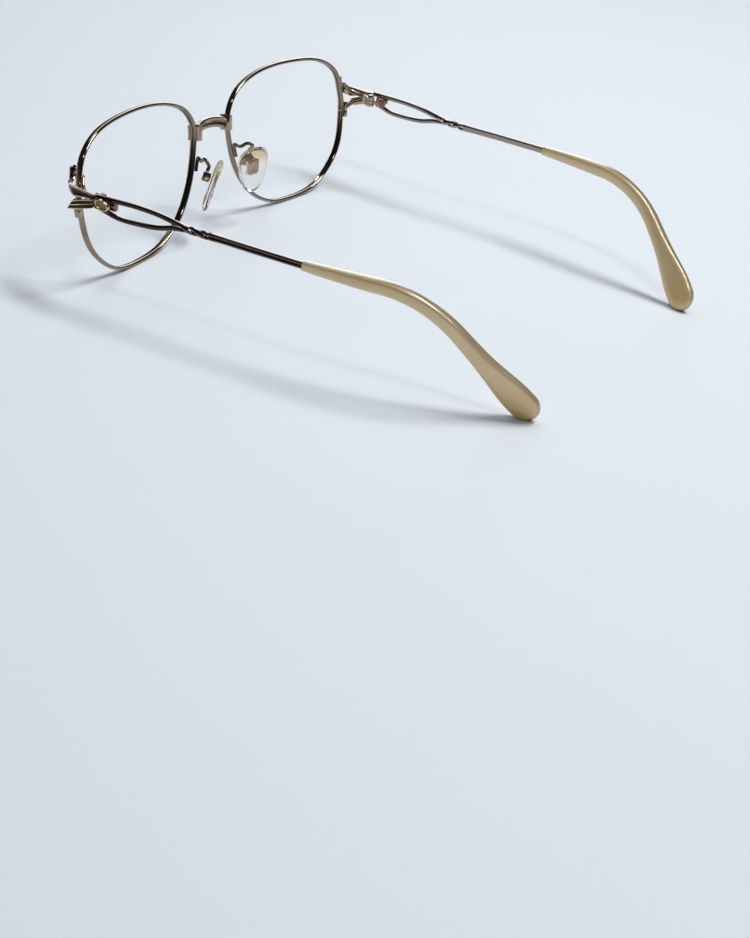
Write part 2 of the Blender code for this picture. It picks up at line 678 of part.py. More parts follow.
def core_stations(start, end, clearance):
    count = 12
    stations = []
    for k in range(count):
        distance = start + (end - start) * k / (count - 1)
        stations.append((temple_point(distance), CORE_HEIGHT + 2 * clearance,
                         CORE_THICKNESS + 2 * clearance, temple_up(distance)))
    return stations


def make_tip(ground):
    """The tip: a squared front end, a round neck and a flat paddle with a round end."""
    centre = paddle_centre_distance(ground)
    radius = PADDLE_WIDTH / 2
    stations = []
    sizes = ((TIP_START, TIP_FRONT_HEIGHT, TIP_FRONT_THICKNESS),
             (TIP_START + 0.25 * (centre - TIP_START), TIP_HEIGHT, TIP_THICKNESS),
             (TIP_START + 0.42 * (centre - TIP_START), TIP_HEIGHT, TIP_THICKNESS),
             (centre - PADDLE_LENGTH, TIP_HEIGHT, TIP_THICKNESS),
             (centre - 0.5 * PADDLE_LENGTH, 0.58 * PADDLE_WIDTH, TIP_THICKNESS),
             (centre - 0.15 * PADDLE_LENGTH, 0.97 * PADDLE_WIDTH, PADDLE_THICKNESS),
             (centre, PADDLE_WIDTH, PADDLE_THICKNESS))
    for distance, height, thickness in smooth(sizes, 3):
        stations.append((temple_point(distance), height, thickness, temple_up(distance)))
    for turn in (25, 50, 70, 83):
        angle = math.radians(turn)
        distance = centre + radius * math.sin(angle)
        stations.append((temple_point(distance), PADDLE_WIDTH * math.cos(angle),
                         PADDLE_THICKNESS * math.sqrt(math.cos(angle)), temple_up(distance)))
    tip = bar("temple_tip", stations, oval(16, TIP_SQUARENESS), steps=1)
    end = centre + radius - CORE_SHORT_OF_END + BUTT_GAP
    bore = bar("bore", core_stations(TIP_START - TIP_HEIGHT, end, CORE_CLEARANCE), OVAL, steps=2)
    return flat_foot(cut(tip, bore), ground)


def flat_foot(item, ground):
    """Cut the small flat on which a rounded foot stands."""
    reach = EYE_WIDTH * 4
    return cut(item, box("floor", (-reach, -reach, ground - reach), (reach, reach, ground)))


def make_cap():
    """The oval cap on the outside of the temple, a raised rim round a shallow dish."""
    inner = WIRE_OUTSET + WIRE_RADIUS + BRAZE_GAP
    middle = HINGE + TEMPLE_TURN @ Vector((inner, CAP_DISTANCE,
                                           (UPPER_WIRE[0][1] + LOWER_WIRE[0][1]) / 2))
    turn = TEMPLE_TURN @ Matrix.Rotation(-CAP_TILT, 3, "X")
    levels = ((0, 0), (0.6 * CAP_THICKNESS, 0), (CAP_THICKNESS, 0.3 * CAP_RIM),
              (CAP_THICKNESS, CAP_RIM), (0.8 * CAP_THICKNESS, 1.5 * CAP_RIM))
    rings = []
    for out, inset in levels:
        ring = []
        for k in range(24):
            angle = math.tau * k / 24
            flat = Vector((out, (CAP_LENGTH / 2 - inset) * math.cos(angle),
                           (CAP_HEIGHT / 2 - inset) * math.sin(angle)))
            ring.append(turn @ flat + middle)
        rings.append(ring)
    return loft("temple_cap", rings)


def on_pad(across, back, up):
    """A point beside the pad's pivot, in the pad's own directions."""
    return PAD_TURN @ Vector((across, back, up)) + PIVOT


def make_pad_box():
    """The open box at the end of the pad arm, which holds the pad's stud on a screw."""
    inside = STUD_RADIUS + STUD_CLEARANCE
    side = STUD_WIDTH / 2 + STUD_CLEARANCE
    shell = box("pad_box", (-side - PAD_BOX_WALL, -inside - PAD_BOX_WALL, -inside - PAD_BOX_WALL),
                (side + PAD_BOX_WALL, PAD_BOX_REACH, inside + PAD_BOX_WALL), PAD_TURN, PIVOT)
    shell = rounded(shell, 0.5 * PAD_BOX_WALL)
    hollow = box("hollow", (-side, -inside, -inside), (side, 2 * PAD_BOX_REACH, inside),
                 PAD_TURN, PIVOT)
    reach = side + 2 * PAD_BOX_WALL
    hole = rod("hole", on_pad(-reach, 0, 0), on_pad(reach, 0, 0), PAD_SCREW_RADIUS + PIN_CLEARANCE)
    return cut(shell, hollow, hole)


def make_pad_screw():
    side = STUD_WIDTH / 2 + STUD_CLEARANCE + PAD_BOX_WALL
    shaft = rod("pad_screw", on_pad(-side, 0, 0), on_pad(side + PAD_SCREW_HEAD / 2 + BRAZE_GAP, 0, 0),
                PAD_SCREW_RADIUS)
    head = rod("head", on_pad(side + BRAZE_GAP, 0, 0),
               on_pad(side + BRAZE_GAP + PAD_SCREW_HEAD, 0, 0), PAD_SCREW_HEAD_RADIUS)
    return joined(shaft, head)


def insert_box(name, clearance, back):
    middle = -INSERT_BELOW_PIVOT
    half_width = INSERT_WIDTH / 2 + clearance
    half_length = INSERT_LENGTH / 2 + clearance
    return box(name, (-half_width, back, middle - half_length),
               (half_width, PAD_FACE + INSERT_THICKNESS + clearance, middle + half_length),
               PAD_TURN, PIVOT)


def make_pad_insert():
    """The metal plate in the pad, with the stud that turns on the pad screw."""
    plate = insert_box("pad_insert", 0, PAD_FACE)
    half = STUD_WIDTH / 2
    neck = box("neck", (-half, 0, -STUD_NECK / 2), (half, PAD_FACE + INSERT_THICKNESS / 2,
                                                    STUD_NECK / 2), PAD_TURN, PIVOT)
    eye = rod("eye", on_pad(-half, 0, 0), on_pad(half, 0, 0), STUD_RADIUS)
    hole = rod("hole", on_pad(-2 * half, 0, 0), on_pad(2 * half, 0, 0),
               PAD_SCREW_RADIUS + PIN_CLEARANCE)
    return cut(joined(plate, neck, eye), hole)


def make_nose_pad():
    """The clear pad: a shield-shaped cushion, narrower below, with the insert's pocket."""
    levels = ((0, 0.80), (0.2, 0.95), (0.5, 1.0), (0.75, 0.94), (0.93, 0.78), (1, 0.55))
    rings = []
    for level, share in levels:
        ring = []
        for across, up in oval(28, PAD_SQUARENESS):
            ring.append(on_pad(PAD_WIDTH / 2 * share * (1 + PAD_TAPER * up) * across,
                               PAD_FACE + PAD_THICKNESS * level,
                               PAD_LENGTH / 2 * share * up - PAD_PIVOT_ABOVE_CENTRE))
        rings.append(ring)
    return cut(loft("nose_pad", rings), insert_box("pocket", BRAZE_GAP, 0))


def make_pad_arm():
    """The bent wire from its foot on the back of the rim to the top of the pad box."""
    depth = RIM_DEPTH / 2 + BRAZE_GAP + PAD_ARM_RADIUS
    top = STUD_RADIUS + STUD_CLEARANCE + PAD_BOX_WALL + BRAZE_GAP
    end = on_pad(0, -PAD_ARM_RADIUS, top)
    apex = PIVOT + Vector(PAD_ARM_APEX)
    foot_bottom = beside_rim(-1, PAD_FOOT_BOTTOM, 0, depth)
    foot_top = beside_rim(-1, PAD_FOOT_TOP, 0, depth + PAD_ARM_RADIUS / 2)
    line = [foot_bottom, beside_rim(-1, (PAD_FOOT_BOTTOM + PAD_FOOT_TOP) / 2, 0, depth), foot_top,
            foot_top.lerp(apex, 0.35) - UP * PAD_ARM_RADIUS,
            foot_top.lerp(apex, 0.7) + UP * PAD_ARM_RADIUS, apex,
            on_pad(0, -PAD_ARM_RADIUS, top + 3 * PAD_ARM_RADIUS),
            on_pad(0, -PAD_ARM_RADIUS, top + PAD_ARM_RADIUS), end]
    return wire("pad_arm", smooth(line, 3), PAD_ARM_RADIUS)


def mirrored(item, name):
    """A copy of an object's mesh on the other side of the wearer."""
    mesh = item.data.copy()
    mesh.transform(Matrix.Scale(-1, 4, OUT))
    mesh.flip_normals()
    return new_object(name, mesh)


def painted(item, finish):
    colour, metallic, roughness = finish
    material = bpy.data.materials.new(item.name)
    material.use_nodes = True
    shader = material.node_tree.nodes["Principled BSDF"]
    shader.inputs["Base Color"].default_value = colour
    shader.inputs["Metallic"].default_value = metallic
    shader.inputs["Roughness"].default_value = roughness
    item.data.materials.clear()
    item.data.materials.append(material)


def pivot_empty(name, place, parent):
    empty = bpy.data.objects.new(name, None)
    empty.empty_display_size = HINGE_SETBACK
    empty.location = place
    empty.parent = parent
    return empty


def lowest(item):
    return min(vert.co.z for vert in item.data.vertices)


def make_left_side():
    """Every paired piece on the wearer's left: its body, its object and its finish."""
    rim = make_rim()
    ground = lowest(rim) + FOOT_FLAT
    rim = flat_foot(rim, ground)
    upper_block, lower_block, closing_screw = make_closing_parts()
    upper_branch, lower_branch = make_branches()
    front_leaf, temple_leaf, hinge_screw = make_hinge_parts()
    pieces = [
        ("front", rim, BRONZE), ("front", upper_block, ROSE_METAL),
        ("front", lower_block, ROSE_METAL), ("front", closing_screw, STEEL),
        ("front", upper_branch, ROSE_METAL), ("front", lower_branch, ROSE_METAL),
        ("front", make_ribbon(), BRONZE), ("front", make_fan(), GOLD),
        ("front", front_leaf, COPPER), ("front", hinge_screw, STEEL),
        ("front", make_pad_arm(), BRONZE), ("front", make_pad_box(), BRONZE),
        ("front", make_pad_screw(), GOLD),
        ("temple", temple_leaf, COPPER), ("temple", make_cap(), GOLD),
        ("temple", make_twin_wire("temple_upper_wire", UPPER_WIRE, 1), BRONZE),
        ("temple", make_twin_wire("temple_lower_wire", LOWER_WIRE, -1), BRONZE),
        ("temple", make_shank(ground), BRONZE), ("temple", make_tip(ground), PEARL),
        ("pad", make_pad_insert(), GOLD), ("pad", make_nose_pad(), CLEAR)]
    return pieces, ground


def main():
    remove_everything()
    pieces, ground = make_left_side()
    parts = bpy.data.collections.new("eyeglass_frame")
    bpy.context.scene.collection.children.link(parts)
    bridge = make_bridge()
    painted(bridge, ROSE_METAL)
    made = [("front", bridge)]
    centres = {"temple": HINGE, "pad": PIVOT}
    for body, item, finish in pieces:
        twin = mirrored(item, item.name + "_right")
        item.name += "_left"
        for side, each in (("left", item), ("right", twin)):
            painted(each, finish)
            made.append((body if body == "front" else f"{body}_{side}", each))

    spread = [vert.co.y for body, item in made for vert in item.data.vertices]
    raise_by = Vector((0, -(min(spread) + max(spread)) / 2, -ground))
    root = pivot_empty("front", raise_by, None)
    parts.objects.link(root)
    empties = {"front": root}
    for body in ("temple", "pad"):
        for side, sign in (("left", 1), ("right", -1)):
            place = centres[body] * Vector((sign, 1, 1))
            empties[f"{body}_{side}"] = pivot_empty(f"{body}_{side}", place, root)
            parts.objects.link(empties[f"{body}_{side}"])
    for body, item in made:
        for holder in list(item.users_collection):
            holder.objects.unlink(item)
        parts.objects.link(item)
        place = Vector() if body == "front" else empties[body].location
        item.data.transform(Matrix.Translation(-place))
        item.parent = empties[body]
    bpy.context.view_layer.update()
    for name, empty in empties.items():
        print(name, [round(value, 6) for value in empty.matrix_world.translation])
    print("pad axis, left", [round(value, 6) for value in PAD_TURN @ OUT])


main()
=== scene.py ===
"""A metal eyeglass frame with twin-wire temples, standing open on a pale table.

Metres, +Z up. The front faces -Y, the temples run back along +Y and the wearer's left is +X.
Paired pieces are shaped on the wearer's left and mirrored to the right.
"""
import math

import bpy
from mathutils import Matrix, Vector


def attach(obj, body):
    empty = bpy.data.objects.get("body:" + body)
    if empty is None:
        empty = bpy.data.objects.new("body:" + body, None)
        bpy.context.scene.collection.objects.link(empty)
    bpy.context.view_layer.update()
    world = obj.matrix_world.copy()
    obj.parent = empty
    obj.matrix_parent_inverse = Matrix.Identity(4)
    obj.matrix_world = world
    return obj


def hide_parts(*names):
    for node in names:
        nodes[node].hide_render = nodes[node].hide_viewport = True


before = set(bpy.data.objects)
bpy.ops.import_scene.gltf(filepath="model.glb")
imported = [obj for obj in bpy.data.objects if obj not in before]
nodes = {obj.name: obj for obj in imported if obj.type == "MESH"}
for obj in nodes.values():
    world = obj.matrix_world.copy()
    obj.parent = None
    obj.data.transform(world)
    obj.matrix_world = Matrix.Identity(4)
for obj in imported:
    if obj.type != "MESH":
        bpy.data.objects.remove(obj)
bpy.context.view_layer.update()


# The camera stands behind the wearer's left temple, a little above it, and is held slightly
# rolled, as the upper photograph was taken.
CAMERA_PLACE = Vector((0.43582, 0.22666, 0.19738))
CAMERA_AZIMUTH = math.radians(117.371)
CAMERA_ELEVATION = math.radians(27.211)
CAMERA_ROLL = math.radians(7.700)
CAMERA_LENS = 74.711
CAMERA_RANGE = (0.01, 20)

backward = Vector((math.sin(CAMERA_AZIMUTH) * math.cos(CAMERA_ELEVATION),
                   -math.cos(CAMERA_AZIMUTH) * math.cos(CAMERA_ELEVATION),
                   math.sin(CAMERA_ELEVATION)))
level = Vector((math.cos(CAMERA_AZIMUTH), math.sin(CAMERA_AZIMUTH), 0))
rightward = Matrix.Rotation(CAMERA_ROLL, 3, backward) @ level
upward = backward.cross(rightward)
bpy.ops.object.camera_add(location=CAMERA_PLACE)
camera = bpy.context.object
camera.name = "camera"
camera.rotation_mode = "QUATERNION"
camera.rotation_quaternion = Matrix((rightward, upward, backward)).transposed().to_quaternion()
camera.data.lens = CAMERA_LENS
camera.data.clip_start, camera.data.clip_end = CAMERA_RANGE
bpy.context.scene.camera = camera


# The table is a large sheet of pale, slightly bluish card. It fills the whole view, and the
# frame's soft shadows lie on it. Far from the frame, beyond the lamps, it glows faintly: painted
# light that keeps the far table bright.
TABLE_COLOUR = (0.745, 0.807, 0.871, 1)
TABLE_SHADED = (0.730, 0.795, 0.862, 1)
TABLE_GLOW = (0.52, 0.565, 0.61, 1)
TABLE_CLOUD = 0.05
TABLE_ROUGHNESS = 0.6
GLOW_NEAR = 0.42
GLOW_FAR = 1.25
TABLE_HALF = 4.0
BLACK = (0, 0, 0, 1)
CLOUDY = 3.0


class Field:
    """A value that varies over a surface or over directions. Sums on it add Math nodes."""

    def __init__(self, graph, socket):
        self.graph = graph
        self.socket = socket

    def maths(self, operation, *others):
        return self.graph.node("Math", {"operation": operation}, dict(enumerate((self, *others))))

    def __add__(self, other):
        return self.maths("ADD", other)

    def __sub__(self, other):
        return self.maths("SUBTRACT", other)

    def __rsub__(self, other):
        return self * -1 + other

    def __mul__(self, other):
        return self.maths("MULTIPLY", other)

    __radd__ = __add__
    __rmul__ = __mul__

    def between(self, start, end):
        """This value as a share of the way from the start to the end, held between 0 and 1."""
        return self.graph.node("MapRange", {}, {"Value": self, "From Min": start, "From Max": end})


class Graph:
    """A node tree, and the one method that adds a node to it."""

    def __init__(self, tree):
        self.tree = tree

    def node(self, kind, settings, sockets, output=0):
        item = self.tree.nodes.new("ShaderNode" + kind)
        for setting, value in settings.items():
            setattr(item, setting, value)
        for socket, value in sockets.items():
            self.fill(item.inputs[socket], value)
        return Field(self, item.outputs[output])

    def fill(self, socket, value):
        if isinstance(value, Field):
            self.tree.links.new(value.socket, socket)
        else:
            socket.default_value = value

    def blend(self, factor, first, second):
        """A colour between two, by a factor. In a Mix node those are the sockets 6, 7 and 0."""
        return self.node("Mix", {"data_type": "RGBA"}, {0: factor, 6: first, 7: second}, 2)


class Finish(Graph):
    """A material, with its shader's sockets."""

    def __init__(self, name, **constants):
        self.material = bpy.data.materials.new(name)
        self.material.use_nodes = True
        super().__init__(self.material.node_tree)
        self.shader = self.tree.nodes["Principled BSDF"]
        for socket, value in constants.items():
            self.put(socket.replace("_", " "), value)

    def put(self, socket, value):
        self.fill(self.shader.inputs[socket], value)

    def place(self):
        """The place on the object, in metres."""
        return self.node("TexCoord", {}, {}, "Object")

    def along(self, axis):
        """The place along one axis."""
        return self.node("SeparateXYZ", {}, {"Vector": self.place()}, axis)

    def marked(self, name):
        """A share that is stored with the mesh under a name."""
        return self.node("Attribute", {"attribute_name": name}, {}, "Fac")

    def noise(self, size, detail, stretch=(1, 1, 1)):
        """Smooth noise from 0 to 1 whose blobs are about the size given in metres."""
        mapped = self.node("Mapping", {}, {"Vector": self.place(), "Scale": stretch})
        return self.node("TexNoise", {}, {"Vector": mapped, "Scale": 1 / size, "Detail": detail})

    def bumped(self, height, distance):
        self.put("Normal", self.node("Bump", {}, {"Height": height, "Distance": distance}))


def deselect():
    for item in bpy.context.selected_objects:
        item.select_set(False)


deselect()
card = Finish("pale_card", Roughness=TABLE_ROUGHNESS, Emission_Strength=1.0)
card.put("Base Color", card.blend(card.noise(TABLE_CLOUD, CLOUDY), TABLE_COLOUR, TABLE_SHADED))
away = card.node("VectorMath", {"operation": "LENGTH"}, {0: card.place()}, "Value")
card.put("Emission Color", card.blend(away.between(GLOW_NEAR, GLOW_FAR), BLACK, TABLE_GLOW))
bpy.ops.mesh.primitive_plane_add(size=2 * TABLE_HALF)
table = bpy.context.object
table.name = "table"
table.data.materials.append(card.material)


# The light is a long soft lamp above the frame and to its right, with three weaker ones round it.
# The room is dim. Two pale windows, one of them a long strip, show in polished surfaces only.
ROOM_WALL = (0.66, 0.70, 0.74, 1)
ROOM_HORIZON = (0.10, 0.10, 0.10, 1)
ROOM_CEILING = (0.030, 0.030, 0.032, 1)
CEILING_EDGE = 0.25
WINDOW = (2.7, 2.75, 2.8, 1)
WINDOW_DIRECTION = Vector((-0.83, -0.43, 0.30)).normalized()
WINDOW_EDGES = (0.972, 0.991)
STRIP_PLACE = -0.45
STRIP_EDGES = (0.14, 0.08)
STRIP_END = (-0.10, -0.30)
STRIP_SHARE = 0.8
FILL_LAMP = "wide_lamp"
LAMPS = (("main_lamp", (-0.36, 0.31, 1.05), 0.57, 0.20, 9.0),
         ("second_lamp", (0.44, 0.31, 1.05), 0.22, 0.13, 1.5),
         ("back_lamp", (-0.36, 0.72, 1.00), 0.24, 0.10, 1.5),
         (FILL_LAMP, (-0.12, -0.62, 1.15), 1.20, 1.00, 4.6))

world = bpy.data.worlds.new("room")
bpy.context.scene.world = world
world.use_nodes = True
room = Graph(world.node_tree)
toward = room.node("TexCoord", {}, {}, "Generated")
rightwards, backwards, upwards = (room.node("SeparateXYZ", {}, {"Vector": toward}, axis)
                                  for axis in "XYZ")
facing = room.node("VectorMath", {"operation": "DOT_PRODUCT"}, {0: toward, 1: WINDOW_DIRECTION},
                   "Value")
strip = (backwards - STRIP_PLACE).maths("ABSOLUTE").between(*STRIP_EDGES)
strip = strip * (rightwards.between(*STRIP_END) * STRIP_SHARE)
glare = facing.between(*WINDOW_EDGES).maths("MAXIMUM", strip)
mirrored = room.node("LightPath", {}, {}, "Is Glossy Ray")
viewed = room.node("LightPath", {}, {}, "Is Camera Ray")
colour = room.blend(upwards.between(0, CEILING_EDGE), ROOM_HORIZON, ROOM_CEILING)
colour = room.blend(glare * mirrored, colour, WINDOW)
colour = room.blend(viewed, colour, ROOM_WALL)
room.fill(room.tree.nodes["Background"].inputs["Color"], colour)

for name, place, width, height, power in LAMPS:
    bpy.ops.object.light_add(type="AREA", location=place)
    lamp = bpy.context.object
    lamp.name = name
    lamp.data.shape = "RECTANGLE"
    lamp.data.size = width
    lamp.data.size_y = height
    lamp.data.energy = power
    lamp.rotation_euler = (-Vector(place)).to_track_quat("-Z", "Y").to_euler()
    lamp.visible_glossy = name != FILL_LAMP
bpy.context.scene.view_settings.view_transform = "Standard"


# The rims are eye wire, a drawn strip with a groove for the lens, bent to a large rounded square
# and split at the temple side. They are plated in a polished bronze, with painted shade in the
# groove.
DATUM = Vector((0, -0.063707, 0.01995))
EYE_WIDTH = 0.0550
EYE_HEIGHT = 0.0400
EYE_SPACING = 0.0164
EYE_OUTLINE = ((1.0, 0.535), (0.996, 0.668), (0.947, 0.847), (0.798, 0.961), (0.543, 1.0),
               (0.288, 0.985), (0.097, 0.908), (0.007, 0.773), (0.004, 0.620), (0.055, 0.372),
               (0.169, 0.160), (0.342, 0.031), (0.552, 0.0), (0.743, 0.035), (0.889, 0.163),
               (0.969, 0.318))
OUTLINE_STEPS = 8
RIM_SPLIT = 0.00012
RIM_EDGE = ((-0.50, 0.30), (-0.48, 0.55), (-0.41, 0.75), (-0.29, 0.88), (-0.13, 0.945),
            (0.03, 0.94), (0.18, 0.87), (0.31, 0.75), (0.41, 0.58), (0.475, 0.36), (0.50, 0.12))
RIM_GROOVE = ((-0.25, -0.10), (-0.25, 0.10))
PANTOSCOPIC_TILT = math.radians(9.9)
WRAP_ANGLE = math.radians(3.8)
LENS_BASE_RADIUS = 0.150
# The hollow colour is painted shade, for grooves and hollows.
BRONZE_HOLLOW_SHADE = (0.045, 0.030, 0.024, 1)
BRONZE = (0.270, 0.202, 0.137, 1)
BRONZE_WORN = (0.315, 0.236, 0.162, 1)
MILLIMETRE = 0.001
BRONZE_ROUGHNESS = 0.11
PLATING_COAT = 0.5
PLATING_COAT_ROUGHNESS = 0.06
PLATING_CLOUD = 0.004
PLATING_GRAIN = 0.0003
PLATING_GRAIN_HEIGHT = 0.000002
FINE = 2.0
CLOUD_DULLING = 0.06
GRAIN_DULLING = 0.04
LACQUER_EDGE = 0.00005
CREASE = math.radians(40)
OUT = Vector((1, 0, 0))


def plating(name, hollow, plain, worn, roughness, ridged=True, lacquer=None, behind=None):
    """Polished plating: clouded a little, worn paler in places, and darker in any hollows.

    A lacquer is a second, darker colour on the side that faces outwards from the wearer, or on
    all that lies behind a place along Y.
    """
    finish = Finish(name, Metallic=1.0, Coat_Weight=PLATING_COAT,
                    Coat_Roughness=PLATING_COAT_ROUGHNESS)
    clouds = finish.noise(PLATING_CLOUD, CLOUDY)
    grain = finish.noise(PLATING_GRAIN, FINE)
    tone = finish.blend(clouds, plain, worn)
    if ridged:
        # Painted shade: where the ridge mark is low, in grooves and hollows, the colour darkens to
        # the hollow colour and the coat is left off, so that hollows show no reflection. On the cap
        # the hollow colour is its dish's own colour instead.
        on_ridge = finish.marked("ridge")
        tone = finish.blend(on_ridge, hollow, tone)
        finish.put("Coat Weight", on_ridge * PLATING_COAT)
    if behind:
        rear = finish.along("Y").between(behind - LACQUER_EDGE, behind + LACQUER_EDGE)
        tone = finish.blend(rear, tone, lacquer)
    elif lacquer:
        tone = finish.blend(finish.marked("outside"), tone, lacquer)
    finish.put("Base Color", tone)
    finish.put("Roughness", clouds * CLOUD_DULLING + grain * GRAIN_DULLING
               + (roughness - (CLOUD_DULLING + GRAIN_DULLING) / 2))
    finish.bumped(grain, PLATING_GRAIN_HEIGHT)
    return finish.material


def smooth(points, steps, closed=False):
    """A smooth curve through the points, each of any number of values, in steps per span."""
    count = len(points)
    curve = []
    for i in range(count if closed else count - 1):
        near = [points[k % count] if closed else points[min(max(k, 0), count - 1)]
                for k in range(i - 1, i + 3)]
        for step in range(steps):
            t = step / steps
            curve.append(tuple(
                (2 * b + (c - a) * t + (2 * a - 5 * b + 4 * c - d) * t ** 2
                 + (3 * b - a - 3 * c + d) * t ** 3) / 2 for a, b, c, d in zip(*near)))
    return curve if closed else curve + [tuple(points[-1])]


def edit(piece, faces=None):
    """Opens a piece in edit mode, with all of it selected or only the faces that pass a test."""
    deselect()
    bpy.context.view_layer.objects.active = piece
    piece.select_set(True)
    bpy.ops.object.mode_set(mode="EDIT")
    bpy.ops.mesh.select_mode(type="FACE")
    bpy.ops.mesh.select_all(action="DESELECT" if faces else "SELECT")
    if faces:
        bpy.ops.object.mode_set(mode="OBJECT")
        for polygon in piece.data.polygons:
            polygon.select = faces(polygon)
        bpy.ops.object.mode_set(mode="EDIT")


def level_ridge(piece):
    """Marks a piece that has no hollows as all ridge."""
    for share in piece.data.attributes.new("ridge", "FLOAT", "POINT").data:
        share.value = 1.0


def skin(name, rings, ridge=None):
    """A closed skin through rings of equally many points, smooth except at its sharp edges."""
    count = len(rings[0])
    last = (len(rings) - 1) * count
    faces = [tuple(reversed(range(count))), tuple(range(last, last + count))]
    for row in range(0, last, count):
        for k in range(count):
            following = (k + 1) % count
            faces.append((row + k, row + following, row + count + following, row + count + k))
    mesh = bpy.data.meshes.new(name)
    mesh.from_pydata([point for ring in rings for point in ring], [], faces)
    piece = bpy.data.objects.new(name, mesh)
    bpy.context.collection.objects.link(piece)
    level_ridge(piece)
    if ridge:
        for i, share in enumerate(mesh.attributes["ridge"].data):
            share.value = ridge[i % count]
    edit(piece)
    bpy.ops.mesh.normals_make_consistent(inside=False)
    bpy.ops.object.mode_set(mode="OBJECT")
    bpy.ops.object.shade_smooth_by_angle(angle=CREASE)
    return piece


def fitted(piece, node, body, material):
    """Gives a left-hand piece its finish and a mirrored twin, and puts both in place of nodes."""
    piece.data.materials.append(material)
    twin = piece.copy()
    twin.data = piece.data.copy()
    bpy.context.collection.objects.link(twin)
    twin.data.transform(Matrix.Scale(-1, 4, OUT))
    twin.data.flip_normals()
    twin.name = piece.name + "_right"
    piece.name += "_left"
    for item, side in ((piece, "left"), (twin, "right")):
        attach(item, body if body == "front" else f"{body}_{side}")
        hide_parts(f"{node}_{side}")


lens_centre = EYE_SPACING / 2 + EYE_WIDTH * math.cos(WRAP_ANGLE) / 2
lens_turn = Matrix.Rotation(WRAP_ANGLE, 3, "Z") @ Matrix.Rotation(PANTOSCOPIC_TILT, 3, "X")
outline = [Vector(point) for point in smooth(
    [((across - 0.5) * EYE_WIDTH, (up - 0.5) * EYE_HEIGHT) for across, up in EYE_OUTLINE],
    OUTLINE_STEPS, closed=True)]


def on_lens(across, up, depth):
    """A place given from the lens centre: outwards, upwards, and back from its surface."""
    sag = (across * across + up * up) / (2 * LENS_BASE_RADIUS)
    return lens_turn @ Vector((across, depth + sag, up)) + Vector((lens_centre, 0, 0)) + DATUM


def on_table(rings):
    """The rings with nothing below the table, which leaves a small flat to stand on."""
    return [[Vector((place.x, place.y, max(place.z, 0))) for place in ring] for ring in rings]


bronze = plating("bronze_plating", BRONZE_HOLLOW_SHADE, BRONZE, BRONZE_WORN, BRONZE_ROUGHNESS)
path = outline + [outline[0].copy()]
path[0] = outline[0].lerp(outline[1], RIM_SPLIT / 2 / (outline[1] - outline[0]).length)
path[-1] = outline[0].lerp(outline[-1], RIM_SPLIT / 2 / (outline[-1] - outline[0]).length)
section = list(RIM_EDGE) + [(outset, -depth) for outset, depth in reversed(RIM_EDGE)]
section = [(outset * MILLIMETRE, depth * MILLIMETRE)
           for outset, depth in section + list(RIM_GROOVE)]
rim_rings = []
for i, point in enumerate(path):
    along = path[min(i + 1, len(path) - 1)] - path[max(i - 1, 0)]
    away = Vector((along.y, -along.x)).normalized()
    rim_rings.append([on_lens(point.x + away.x * outset, point.y + away.y * outset, depth)
                      for outset, depth in section])
rim_ridge = [1.0] * (2 * len(RIM_EDGE)) + [0.0] * len(RIM_GROOVE)
fitted(skin("eye_wire", on_table(rim_rings), rim_ridge), "rim", "front", bronze)


# Two small blocks are brazed to each rim above and below its split, and a screw from below
# pulls them together. The blocks are of tan plated metal and the screw is turned steel.
# The hollow colours are painted shade, for any grooves.
TAN_HOLLOW_SHADE = (0.16, 0.105, 0.07, 1)
TAN = (0.36, 0.270, 0.190, 1)
TAN_WORN = (0.42, 0.315, 0.225, 1)
STEEL_HOLLOW_SHADE = (0.20, 0.18, 0.16, 1)
STEEL = (0.42, 0.39, 0.35, 1)
STEEL_WORN = (0.50, 0.46, 0.41, 1)
TAN_ROUGHNESS = 0.22
STEEL_ROUGHNESS = 0.26
BLOCK_ROUNDING = 0.00012
SCREW_ROUNDING = 0.00004
ROUNDING_STEPS = 3
SAME_POINT = 0.0000005
SAME_PLANE = math.radians(1)
ROUNDED_CREASE = math.radians(35)


def refined(name, node, width):
    """A merged copy of a CAD node, with clean faces and softly rounded edges."""
    piece = nodes[node].copy()
    piece.data = nodes[node].data.copy()
    piece.name = name
    piece.parent = None
    for key in list(piece.keys()):
        del piece[key]
    piece.data.materials.clear()
    bpy.context.collection.objects.link(piece)
    edit(piece)
    bpy.ops.mesh.customdata_custom_splitnormals_clear()
    bpy.ops.mesh.remove_doubles(threshold=SAME_POINT)
    bpy.ops.mesh.mark_sharp(clear=True)
    bpy.ops.mesh.dissolve_limited(angle_limit=SAME_PLANE)
    bpy.ops.object.mode_set(mode="OBJECT")
    rounding = piece.modifiers.new("rounding", "BEVEL")
    rounding.width = width
    rounding.segments = ROUNDING_STEPS
    rounding.limit_method = "ANGLE"
    rounding.angle_limit = CREASE
    bpy.ops.object.modifier_apply(modifier="rounding")
    level_ridge(piece)
    bpy.ops.object.shade_smooth_by_angle(angle=ROUNDED_CREASE)
    return piece


tan_metal = plating("tan_plating", TAN_HOLLOW_SHADE, TAN, TAN_WORN, TAN_ROUGHNESS)
steel = plating("turned_steel", STEEL_HOLLOW_SHADE, STEEL, STEEL_WORN, STEEL_ROUGHNESS, ridged=False)
for name in ("closing_block_upper", "closing_block_lower"):
    fitted(refined("rim_" + name, name + "_left", BLOCK_ROUNDING), name, "front",
           tan_metal)
fitted(refined("rim_screw", "closing_screw_left", SCREW_ROUNDING), "closing_screw", "front",
       steel)


# The bridge is one two-ridged bar with a collar at each end that clasps the rim. It is brazed
# in place and plated tan.
BRIDGE_ROUNDING = 0.00024

bridge = refined("bridge_bar", "bridge", BRIDGE_ROUNDING)
bridge.data.materials.append(tan_metal)
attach(bridge, "front")
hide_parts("bridge")


